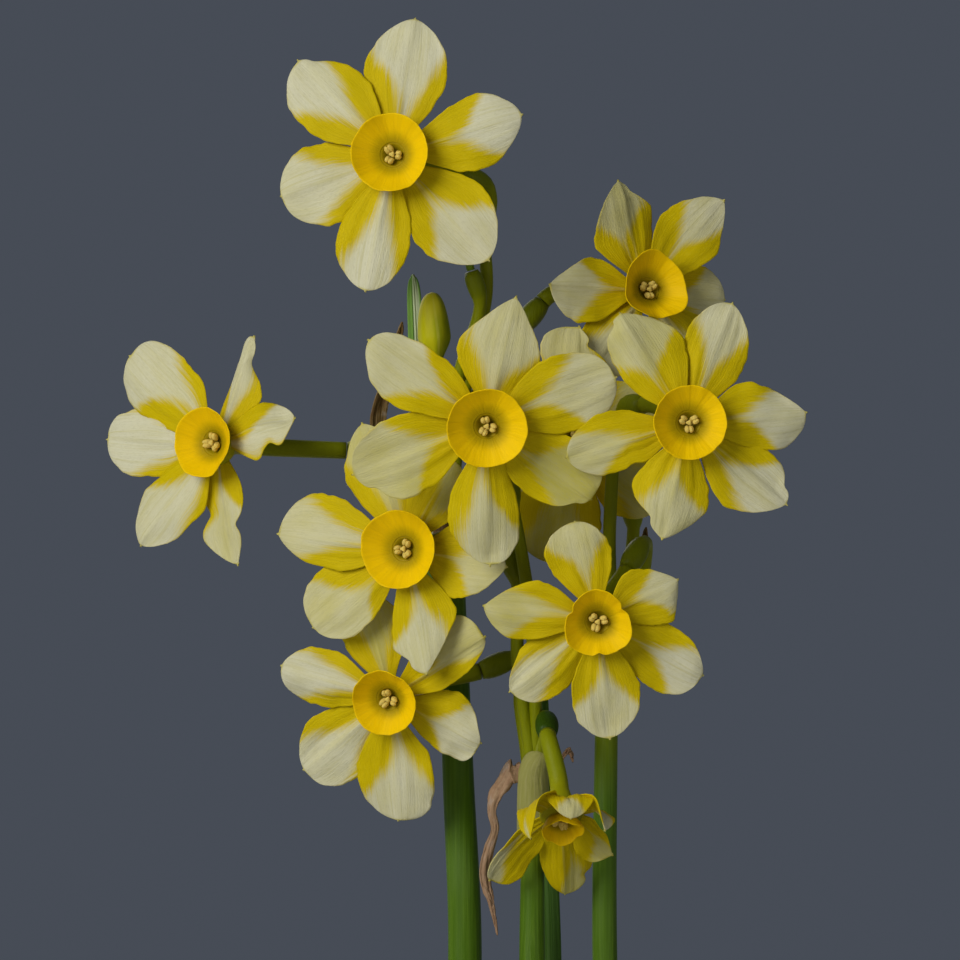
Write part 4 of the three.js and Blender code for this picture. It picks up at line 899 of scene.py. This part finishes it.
class DAFFODIL_OT_tubes(bpy.types.Operator):
    """Makes the tube behind each flower, which spreads under the tepals and opens at the throat"""

    bl_idname = "daffodil.tubes"
    bl_label = "Tubes"

    def execute(self, context):
        scene = context.scene
        petals = scene.daffodil_petals
        material = tube_material(scene.daffodil_greens, petals.cup_deep, petals.throat)
        for index, flower in enumerate(FLOWERS):
            home = facing(flower)
            back = home.inverted()
            aim = Vector(flower["aim"]).normalized()
            start = back @ (Vector(flower["ovary"]) + aim * GAP)
            end = Vector((0, 0, -TUBE["end"]))
            pull = (start - end).length * TUBE["pull"]
            way = (back.to_3x3() @ aim) * pull
            points = bezier(start, start + way, end - Vector((0, 0, pull)), end, TUBE["steps"])
            rings = rings_along(points, [TUBE["radius"] + TUBE["spread"] * s for s in shares(TUBE["steps"])])
            turn = rings[-1][0].to_3x3() @ Vector((1, 0, 0))
            spin = Matrix.Rotation(math.atan2(turn.y, turn.x), 4, "Z")
            rings += [(Matrix.Translation((0, 0, z)) @ spin, radius) for radius, z in FLARE]
            piece = Piece(("along", "flared"))
            piece.sweep(rings, TUBE["sides"], along=shares(len(rings) - 1),
                        flared=[0] * TUBE["steps"] + shares(len(FLARE)))
            piece.move(home)
            piece.finish(f"flower_{index + 1:02d}_tube", material, [f"bloom_{index + 1:02d}_tepals"])
        return {"FINISHED"}


class DAFFODIL_OT_cups(bpy.types.Operator):
    """Makes the flowers' cups"""

    bl_idname = "daffodil.cups"
    bl_label = "Cups"

    def execute(self, context):
        material = cup_material(context.scene.daffodil_petals)
        for index, flower in enumerate(FLOWERS):
            radius, height = flower["cup"][:2]
            mouth, foot, inset = CUP["mouth"], CUP["foot"], CUP["thick"] / 2
            piece = Piece(("spread", "around", "tone"))
            steps, sides = FINE["cup"]
            piece.spin([(mouth + (radius - inset - mouth) * t,
                         foot + inset + (height - foot) * t ** CUP["curve"]) for t in shares(steps)], sides)
            self.shape(piece, index, flower)
            piece.move(facing(flower))
            piece.finish(f"flower_{index + 1:02d}_cup", material, [f"bloom_{index + 1:02d}_cup"],
                         thick=CUP["thick"])
        return {"FINISHED"}

    def shape(self, piece, index, flower):
        """Gives a cup its lobes, notches, soft folds and wavy rim."""
        radius, _, lobes, depth, turn = flower["cup"]
        rng = random.Random(500 + index)
        folds, waves = rng.randint(11, 15), rng.randint(3, 5)
        fold_turn, wave_turn = rng.uniform(0, TAU), rng.uniform(0, TAU)
        for vert in piece.bm.verts:
            angle = math.atan2(vert.co.y, vert.co.x)
            spread = (vert.co.xy.length - CUP["mouth"]) / (radius - CUP["mouth"])
            spot = Vector((math.cos(angle), math.sin(angle), index))
            lobe = math.cos(lobes * (angle - rad(turn)))
            scale = 1 + (depth * spread * (lobe + 0.35 * lobe * lobe) if lobes == 3 else 0)
            scale -= flower.get("notch", 0) * spread ** 3 * max(0, -lobe) ** 12
            scale += 0.003 * spread ** 3 * math.sin(folds * angle + fold_turn)
            scale += 0.035 * spread ** 2 * noise.noise(spot * 1.4)
            scale += 0.02 * spread ** 3 * noise.noise(spot * 5)
            lift = 0.1 * math.cos(folds * angle + fold_turn) * spread * (1.3 - spread)
            lift += 0.4 * math.cos(waves * angle + wave_turn) * spread ** 2
            lift += 0.6 * noise.noise(spot * 2 + Vector((9, 0, 0))) * spread ** 2
            lift += 4 * depth * lobe * spread ** 3
            vert.co = Vector((vert.co.x * scale, vert.co.y * scale, vert.co.z + lift))
            piece.set([vert], spread=spread, around=abs(angle), tone=index / 10)
            vert[piece.weight][0] = 1 - CUP["thin"] * spread


class DAFFODIL_OT_stamens(bpy.types.Operator):
    """Makes the style and the anthers in each throat"""

    bl_idname = "daffodil.stamens"
    bl_label = "Stamens"

    def execute(self, context):
        material = pollen_material(context.scene.daffodil_petals)
        for index, flower in enumerate(FLOWERS):
            rng = random.Random(700 + index)
            piece = Piece()
            heights, radii = zip(*STYLE)
            piece.sweep(rings_along([Vector((0, 0, z)) for z in heights], radii), FINE["style"],
                        shape=lambda angle, s: 1 + 0.22 * math.cos(3 * angle) * (s > 0.6))
            for number in range(3):
                turn = Matrix.Rotation(rad(120 * number + 37 * index + rng.uniform(-8, 8)), 4, "Z")
                lean = Matrix.Rotation(rng.uniform(0.25, 0.6), 4, "Y")
                for lobe in (-1, 1):
                    made = bmesh.ops.create_icosphere(piece.bm, subdivisions=3, radius=1)["verts"]
                    for vert in made:
                        vert.co *= 1 + 0.16 * noise.noise(vert.co * 2.6 + Vector((number, lobe, index)))
                    apart = Matrix.Translation((0, ANTHER["apart"] * lobe, 0))
                    where = turn @ Matrix.Translation((ANTHER["out"], 0, ANTHER["up"])) @ lean
                    piece.move(where @ apart @ Matrix.Diagonal((*ANTHER["half"], 1)), made)
                stalk = [turn @ Vector((1 + 0.3 * z, 0, z)) for z in ANTHER["stalk"]]
                piece.sweep(rings_along(stalk, [ANTHER["stalk_radius"]] * len(stalk)), FINE["filament"])
            piece.move(facing(flower))
            piece.finish(f"flower_{index + 1:02d}_stamens", material,
                         [f"bloom_{index + 1:02d}_stamens"])
        return {"FINISHED"}


def stalk_rings(one, node, scale):
    """The rings of a flower's own stalk with its ovary, and how ripe each one is."""
    end, aim = Vector(one["ovary"]), Vector(one["aim"]).normalized()
    inside = Vector(node) - Vector((0, 0, OVARY["stalk_root"]))
    route = Route([inside, *one["via"], end - aim * OVARY["length"] * scale, end])
    swell = 1 - OVARY["length"] * scale / route.lengths[-1]
    steps = int(route.lengths[-1] / OVARY["spacing"]) + 8
    radii, ripe = [], []
    for s in shares(steps):
        t = max(0, (s - swell) / (1 - swell))
        swollen = math.sin(math.pi * min(1, t * 0.9)) ** 0.7
        size = OVARY["stalk"] + (OVARY["radius"] * scale - OVARY["stalk"]) * swollen
        radii.append(min(size, OVARY["end"] * scale) if s > OVARY["end_from"] else size)
        ripe.append(smoothstep(0.02, 0.3, t) * one.get("ripe", OVARY["ripe"]))
    return rings_along(route.evenly(steps), radii), ripe


class DAFFODIL_OT_stems(bpy.types.Operator):
    """Makes each flower stem with its flowers' stalks and ovaries"""

    bl_idname = "daffodil.stems"
    bl_label = "Stems"

    def execute(self, context):
        material = stem_material(context.scene.daffodil_greens)
        for index, stem in enumerate(STEMS):
            x, y = stem["bulb"]
            route = Route([(x, y, ROOT), (x, y, SOIL_TOP + STEM["upright"]), *stem["route"]])
            steps = int(route.lengths[-1] / STEM["spacing"])
            radii = [stem["foot"] + (stem["top"] - stem["foot"]) * s ** 2 for s in shares(steps)]
            radii[-1] *= STEM["end"]
            flat = 0.3 + index

            def section(angle, s):
                return 0.988 - 0.012 * math.cos(2 * angle + flat) + 0.004 * math.cos(11 * angle)

            piece = Piece(("ripe", "young"))
            piece.sweep(rings_along(route.evenly(steps), radii), FINE["stem"], shape=section, ripe=0,
                        young=[smoothstep(0.85, 1, s) * 0.6 for s in shares(steps)])
            for one in FLOWERS + BUDS:
                if one["stem"] == index:
                    scale = OVARY["in_bud"] if one in BUDS else 1
                    rings, ripe = stalk_rings(one, stem["route"][-1], scale)
                    piece.sweep(rings, FINE["stalk"], ripe=ripe, young=1,
                                shape=lambda angle, s: 1 - 0.02 * (1 - math.cos(3 * angle)) * (s > 0.7))
            piece.finish(f"flower_stem_{index + 1:02d}", material, [f"stem_{index + 1:02d}"])
        return {"FINISHED"}


class DAFFODIL_OT_buds(bpy.types.Operator):
    """Makes the closed buds"""

    bl_idname = "daffodil.buds"
    bl_label = "Buds"

    def execute(self, context):
        material = bud_material(context.scene.daffodil_greens)
        for index, one in enumerate(BUDS):
            aim = Vector(one["aim"]).normalized()
            start = Vector(one["ovary"]) + aim * GAP
            steps, sides = FINE["bud"]
            along = shares(steps)
            points = [start + aim * one["length"] * s for s in along]
            piece = Piece(("along", "around"))
            verts = piece.sweep(
                rings_along(points, [self.radius(one, s) for s in along]), sides, along=along,
                shape=lambda angle, s: 1 - 0.05 * smoothstep(0.35, 0.6, s)
                * abs(math.sin(1.5 * (angle - 2.2 * s))) ** 6 + 0.02 * math.cos(6 * angle - 5 * s))
            # around is 1 on the bud's -X side, towards the key light, and 0 on its +X side; the bud's
            # painted light and painted shade follow it.
            for vert in verts:
                away = vert.co - start
                vert[piece.marks["around"]] = 0.5 - 0.5 * (away - aim * away.dot(aim)).normalized().x
            piece.finish(f"closed_bud_{index + 1:02d}", material, [f"bud_{index + 1:02d}"])
        return {"FINISHED"}

    def radius(self, one, s):
        """A bud's radius at a place along it: a narrow neck, then the swollen part."""
        t = (s - 1 + one["swell"]) / one["swell"]
        if t < 0:
            return BUD_NECK * one["radius"]
        return one["radius"] * (BUD_NECK + 0.7 * smoothstep(0, 0.4, t)) * (1 - t ** 3.4) ** 0.45


def ribbon_place(route, side, half, bow, turn=None, tone=0, relief=None):
    """Gives the place on a long blade for a place across and along it."""

    def place(across, row):
        s = math.sin(math.pi / 2 * row)
        middle, ahead = route.at(s), route.heading(s)
        beside = (side - ahead * side.dot(ahead)).normalized()
        if turn:
            beside.rotate(Quaternion(ahead, turn(s)))
        back = beside.cross(ahead)
        width = half(s)
        arc = bow(s) if width > 0.01 else 0
        angle = across * arc
        if abs(arc) > 1e-3:
            shift, sink = math.sin(angle) * width / arc, (1 - math.cos(angle)) * width / arc
        else:
            shift, sink = across * width, 0
        if relief:
            sink += relief(across, s)
        return middle + beside * shift + back * sink, {"across": across, "along": s, "tone": tone}

    return place


def taper(half, tip):
    """A leaf's half width: narrow at its root, even, and rounded off at the tip."""

    def width(s):
        if s >= 1:
            return 0
        wide = LEAF["root_half"] + (half - LEAF["root_half"]) * smoothstep(0.1, 0.38, s)
        return wide * (1 - (1 - tip) * s ** 3) * (1 - s ** 160) ** 0.5

    return width


def leaf_shape(index, leaf):
    """A leaf's route, the way it leans, its half width along the route and its twist."""
    x, y = STEMS[leaf["bulb"]]["bulb"]
    away = Vector((math.cos(rad(leaf["out"])), math.sin(rad(leaf["out"])), 0))

    def at(distance, height):
        return Vector((x, y, height)) + away * distance

    if "route" in leaf:
        route = [at(LEAF["start"], ROOT), at(LEAF["start"], SOIL_TOP + STEM["upright"]), *leaf["route"]]
        return Route(route), away, taper(leaf["half"], leaf["tip"]), None
    reach, top, end = leaf["reach"], leaf["top"], leaf["end"]
    route = [at(LEAF["start"], ROOT), at(LEAF["start"], SOIL_TOP + LEAF["upright"]),
             at(reach * 0.2, SOIL_TOP + (top - SOIL_TOP) * 0.56), at(reach * 0.46, top - 3),
             at(reach * 0.72, top - (top - end) * 0.3), at(reach, end)]
    swing = rad(-20 if index % 2 == 0 else 24)
    return Route(route), away, taper(leaf["half"], LEAF["low_tip"]), lambda s: swing * s * s


class DAFFODIL_OT_leaves(bpy.types.Operator):
    """Makes the tall leaves and the low ones that arch over the rim"""

    bl_idname = "daffodil.leaves"
    bl_label = "Leaves"

    def execute(self, context):
        material = leaf_material(context.scene.daffodil_greens)
        for index, leaf in enumerate(TALL_LEAVES + LOW_LEAVES):
            route, away, half, turn = leaf_shape(index, leaf)
            piece = Piece(("across", "along", "tone", "fresh", "stripe"))
            verts = piece.blade(FINE["leaf"], ribbon_place(
                route, -Vector((-away.y, away.x, 0)), half, lambda s: LEAF["bow"], turn, index / 12,
                lambda across, s: 0.1 * math.cos(5 * math.pi * across) * (1 - across * across)),
                LEAF["thin"])
            for vert in verts:
                across, s = vert[piece.marks["across"]], vert[piece.marks["along"]]
                fresh = leaf.get("fresh", 0) * smoothstep(0.5, 0.75, s)
                # Painted highlight: a pale streak across part of the first tall leaf's width, near its end.
                highlight_band = smoothstep(-0.3, 0, across) * smoothstep(0.9, 0.65, across)
                piece.set([vert], fresh=fresh, stripe=fresh * highlight_band)
            piece.finish(f"strap_leaf_{index + 1:02d}", material, [f"leaf_{index + 1:02d}"],
                         thick=LEAF["thick"])
        return {"FINISHED"}


def crumpled(seed, strength):
    """Gives the creases of dry paper for a place across and along it."""

    def crease(across, s):
        broad = noise.noise(Vector((across * 2.2, s * 9, seed)))
        fine = abs(noise.noise(Vector((across * 3.5, s * 22, seed + 5))))
        return strength * (broad + 0.8 * fine) * smoothstep(0, 0.25, s)

    return crease


def bract_place(one, seed):
    """A bract's wrap round the stem, which narrows into a tail."""
    away = Vector((math.cos(rad(one["turn"])), math.sin(rad(one["turn"])), 0))
    axis, radius, hug = Vector(one["axis"]), one["radius"], one["hug"]
    high = axis + away * radius
    low = Vector((high.x + one["lean"], high.y, one["bottom"]))
    route = Route([low, high, *one["tail"]])

    def opening(s):
        return max(0, 1 - s / one["close"])

    def width(s):
        if s >= 1:
            return 0
        return radius * WRAP * opening(s) ** hug[0] + one["half"] * (1 - opening(s)) * (1 - s ** 4) ** 0.6

    def bend(s):
        return WRAP * opening(s) ** hug[1] + 0.5 * (1 - opening(s))

    twist = rad(one.get("twist", 0))
    return ribbon_place(route, Vector((away.y, -away.x, 0)), width, bend,
                        lambda s: twist * smoothstep(0.3, 0.6, s), one["dry"], crumpled(seed, one["crease"]))


def strip_place(one):
    """A dry strip that hangs from the wrap."""

    def width(s):
        if s >= 1:
            return 0
        return one["half"] * (0.75 + 0.3 * math.cos(11 * (s - 0.2))) * (1 - s ** 3) ** 0.6

    return ribbon_place(Route(one["route"]), Vector(one["side"]), width, lambda s: 0.7,
                        lambda s: 0.5 * math.sin(6 * s), 1, crumpled(3, 0.7))


class DAFFODIL_OT_bracts(bpy.types.Operator):
    """Makes the papery bracts round the tops of the stems"""

    bl_idname = "daffodil.bracts"
    bl_label = "Bracts"

    def execute(self, context):
        brown = paper_material("bract_brown", (0.2, 0.15, 0.03), (0.16, 0.09, 0.02))
        olive = paper_material("bract_olive", (0.27, 0.26, 0.06), context.scene.daffodil_greens.paper)
        for index, one in enumerate(BRACTS):
            piece = Piece(("across", "along", "tone"))
            piece.blade(FINE["bract"], bract_place(one, index))
            for strip in one.get("strips", ()):
                piece.blade(FINE["strip"], strip_place(strip))
            piece.finish(f"papery_bract_{index + 1:02d}", brown if one["dry"] else olive,
                         [f"bract_{index + 1:02d}"], thick=BRACT_THICK)
        return {"FINISHED"}


class DAFFODIL_OT_bulbs(bpy.types.Operator):
    """Makes the bulbs, whose necks stand out of the compost"""

    bl_idname = "daffodil.bulbs"
    bl_label = "Bulbs"

    def execute(self, context):
        material = tunic_material(context.scene.daffodil_ground)
        neck, depth, wide = BULB["neck"], BULB["depth"], BULB["radius"]
        well, rise, axis = BULB["well"], BULB["rise"], 0.1
        outline = Route([(axis, 0, -depth), (7, 0, -depth), (12.5, 0, -depth + 4), (wide, 0, -depth + 14),
                         (wide - 1, 0, -depth + 25), (10.5, 0, -depth + 36), (neck + 0.2, 0, -depth + 44),
                         (neck, 0, rise)])
        steps, sides = FINE["bulb"]
        profile = [(point.x, point.z) for point in map(outline.at, shares(steps))]
        profile += [(neck - 1, rise), (neck - 1, -4), (neck - 1.2, -well), (axis, -well)]
        for index, stem in enumerate(STEMS):
            piece = Piece()
            piece.spin(profile, sides)
            for vert in piece.bm.verts:
                wrinkle = noise.noise(Vector((vert.co.x, vert.co.y, vert.co.z * 0.12 + 30 * index)) * 0.5)
                ragged = noise.noise(Vector((vert.co.x, vert.co.y, index)) * 0.6) - 0.4
                vert.co.z += 1.1 * smoothstep(0, rise, vert.co.z) * ragged
                vert.co.xy *= 1 + 0.02 * min(0, wrinkle - 0.1)
            piece.move(Matrix.Translation((*stem["bulb"], SOIL_TOP)))
            piece.finish(f"planted_bulb_{index + 1:02d}", material, [f"bulb_{index + 1:02d}"])
        return {"FINISHED"}


def pot_inside(z):
    """The radius of the pot's inner wall at a height."""
    share = (z - POT["floor"]) / (POT["height"] - POT["floor"])
    return POT["foot_radius"] - POT["wall"] + (POT["body_radius"] - POT["foot_radius"] + 1) * share


class DAFFODIL_OT_soil(bpy.types.Operator):
    """Makes the compost, crumbly on top"""

    bl_idname = "daffodil.soil"
    bl_label = "Compost"

    def execute(self, context):
        material = soil_material(context.scene.daffodil_ground)
        piece = Piece(("tone",))
        low, axis = POT["floor"] + GAP, 0.1
        edge = pot_inside(SOIL_TOP) - SOIL["wall_gap"]
        profile = [(axis, low), (pot_inside(low) - SOIL["wall_gap"], low), (edge, SOIL_TOP - 1)]
        rings, sides = FINE["soil"]
        profile += [(edge * (1 - s), SOIL_TOP) for s in shares(rings)[1:-1]] + [(axis, SOIL_TOP)]
        piece.spin(profile, sides)
        for vert in piece.bm.verts:
            if vert.co.z > SOIL_TOP - 0.5:
                flat = Vector((vert.co.x, vert.co.y, 3))
                vert.co.z += sum(high * noise.noise(flat * fine) for fine, high in SOIL["lumps"]) - 0.2
        rng = random.Random(31)
        for _ in range(SOIL["crumbs"]):
            away, turn = edge * 0.97 * math.sqrt(rng.random()), rng.uniform(0, TAU)
            spot = Vector((away * math.cos(turn), away * math.sin(turn), SOIL_TOP + rng.uniform(-0.3, 0.3)))
            size = rng.uniform(*SOIL["sizes"])
            made = bmesh.ops.create_icosphere(piece.bm, subdivisions=2, radius=size)["verts"]
            bark = rng.random() < SOIL["bark"]
            for vert in made:
                vert.co *= 1 + 0.5 * noise.noise(vert.co * 1.1 + spot)
            squash = Matrix.Diagonal((1.5, 0.9, 0.4, 1) if bark else (1, 1, 0.75, 1))
            tilt = Euler((rng.uniform(-0.3, 0.3), rng.uniform(-0.3, 0.3), rng.uniform(0, TAU))).to_matrix()
            piece.move(Matrix.Translation(spot) @ tilt.to_4x4() @ squash, made)
            piece.set(made, tone=0.7 if bark else 0.15 * rng.random())
        piece.finish("compost", material, ["soil"])
        return {"FINISHED"}


class DAFFODIL_OT_pot(bpy.types.Operator):
    """Makes the clay pot with its rim and drainage holes"""

    bl_idname = "daffodil.pot"
    bl_label = "Pot"

    def execute(self, context):
        material = clay_material(context.scene.daffodil_ground)
        height, step, rim = POT["height"], POT["height"] - POT["rim_depth"], POT["rim_radius"]
        foot, body, inside = POT["foot_radius"], POT["body_radius"], pot_inside(POT["height"])
        steps, sides = FINE["pot"]
        outline = [(0.1, 0), (foot - 2.4, 0), (foot - 0.8, 0.4)]
        outline += [(foot + (body - 1 - foot) * s, 1.6 + (step - 2.2) * s) for s in shares(steps)]
        outline += [(body - 0.6, step + 0.2), (rim - 2.2, step + 1), (rim - 1.3, step + 1.6)]
        outline += [(rim - 1 + s, step + 2.6 + (height - step - 5) * s) for s in shares(8)]
        outline += [(rim - 0.5, height - 1), (rim - 1.6, height - 0.15), (rim - 3, height)]
        outline += [(inside + 2, height), (inside + 0.6, height - 0.4), (inside, height - 1.6)]
        outline += [(pot_inside(z), z) for z in range(int(height) - 4, 12, -3)]
        outline += [(pot_inside(11) - 1, 9.6), (pot_inside(9) - 3, POT["floor"]), (0.1, POT["floor"])]
        piece = Piece()
        piece.spin(outline, sides)
        for vert in piece.bm.verts:
            if vert.co.z > 2 and vert.co.xy.length > 20:
                turned = 0.1 * noise.noise(Vector((0, 0, vert.co.z * 0.35)))
                vert.co.xy *= 1 + (turned + 0.25 * noise.noise(vert.co * 0.03) - 0.25) / vert.co.xy.length
        pot = piece.finish("clay_pot", material, ["pot"])
        for i in range(POT["holes"]):
            self.drill(context, pot, TAU * i / POT["holes"] + rad(POT["first_hole"]))
        return {"FINISHED"}

    def drill(self, context, pot, turn):
        """Cuts a drainage hole in the pot's floor."""
        spot = Vector((math.cos(turn), math.sin(turn), 0)) * POT["hole_circle"] * MM
        bm = bmesh.new()
        radius = POT["hole_radius"] * MM
        bmesh.ops.create_cone(bm, cap_ends=True, segments=FINE["hole"], radius1=radius, radius2=radius,
                              depth=4 * POT["floor"] * MM, matrix=Matrix.Translation(spot))
        drill = placed("drill", bm)
        cut = pot.modifiers.new("Hole", "BOOLEAN")
        cut.object, cut.operation, cut.solver = drill, "DIFFERENCE", "EXACT"
        context.view_layer.objects.active = pot
        bpy.ops.object.modifier_apply(modifier=cut.name)
        bpy.data.objects.remove(drill)


class DAFFODIL_OT_stage(bpy.types.Operator):
    """Makes the pale floor, the soft lights and the camera"""

    bl_idname = "daffodil.stage"
    bl_label = "Stage"

    def execute(self, context):
        scene = context.scene
        bm = bmesh.new()
        bmesh.ops.create_circle(bm, cap_ends=True, radius=STAGE["floor_radius"], segments=96)
        floor = placed("floor", bm)
        shader = Shader("floor")
        grain = shader.noise(shader.place(), 0.02, 3, 0.5)
        color = shader.mix(grain, (0.55, 0.56, 0.57), (0.6, 0.6, 0.6))
        floor.data.materials.append(shader.surface(color, 0.8))
        floor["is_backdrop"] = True

        world = bpy.data.worlds.new("studio")
        world.use_nodes = True
        world.node_tree.nodes["Background"].inputs[0].default_value = STAGE["air"]
        scene.world = world
        scene.view_settings.view_transform = "Standard"

        for name, spot, size, power in STAGE["lights"]:
            light = bpy.data.lights.new(name, "AREA")
            light.shape, light.size, light.energy = "DISK", size, power
            lamp = bpy.data.objects.new(name, light)
            lamp.location = spot
            aim = Vector(STAGE["lit"]) - Vector(spot)
            lamp.rotation_euler = aim.to_track_quat("-Z", "Y").to_euler()
            scene.collection.objects.link(lamp)

        camera = bpy.data.objects.new("camera", bpy.data.cameras.new("camera"))
        camera.location = STAGE["camera"]
        camera.rotation_euler = (math.pi / 2, 0, 0)
        camera.data.lens, camera.data.sensor_width = STAGE["lens"], STAGE["sensor"]
        camera.data.clip_start, camera.data.clip_end = 0.05, 20
        scene.collection.objects.link(camera)
        scene.camera = camera
        return {"FINISHED"}


OPERATORS = (DAFFODIL_OT_pot, DAFFODIL_OT_soil, DAFFODIL_OT_bulbs, DAFFODIL_OT_stems, DAFFODIL_OT_leaves,
             DAFFODIL_OT_bracts, DAFFODIL_OT_buds, DAFFODIL_OT_tubes, DAFFODIL_OT_tepals,
             DAFFODIL_OT_cups, DAFFODIL_OT_stamens, DAFFODIL_OT_stage)
SETTINGS = {"daffodil_petals": DaffodilPetals, "daffodil_greens": DaffodilGreens,
            "daffodil_ground": DaffodilGround}


class DAFFODIL_PT_panel(bpy.types.Panel):
    """Lists what makes the potted daffodil"""

    bl_idname = "DAFFODIL_PT_panel"
    bl_label = "Potted Daffodil"
    bl_space_type = "VIEW_3D"
    bl_region_type = "UI"
    bl_category = "Daffodil"

    def draw(self, context):
        for name, group in SETTINGS.items():
            box = self.layout.box()
            for key in group.__annotations__:
                box.prop(getattr(context.scene, name), key)
        for operator in OPERATORS:
            self.layout.operator(operator.bl_idname)


def register():
    for kind in (*SETTINGS.values(), *OPERATORS, DAFFODIL_PT_panel):
        bpy.utils.register_class(kind)
    for name, group in SETTINGS.items():
        setattr(bpy.types.Scene, name, PointerProperty(type=group))


def unregister():
    for name in SETTINGS:
        delattr(bpy.types.Scene, name)
    for kind in reversed((*SETTINGS.values(), *OPERATORS, DAFFODIL_PT_panel)):
        bpy.utils.unregister_class(kind)


def main():
    register()
    for operator in OPERATORS:
        group, action = operator.bl_idname.split(".")
        getattr(getattr(bpy.ops, group), action)()
    boxes = {"cad": solid_box, "visual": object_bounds()}
    boxes = {name: [list(corner) for corner in box] for name, box in boxes.items()}


if __name__ == "__main__":
    main()
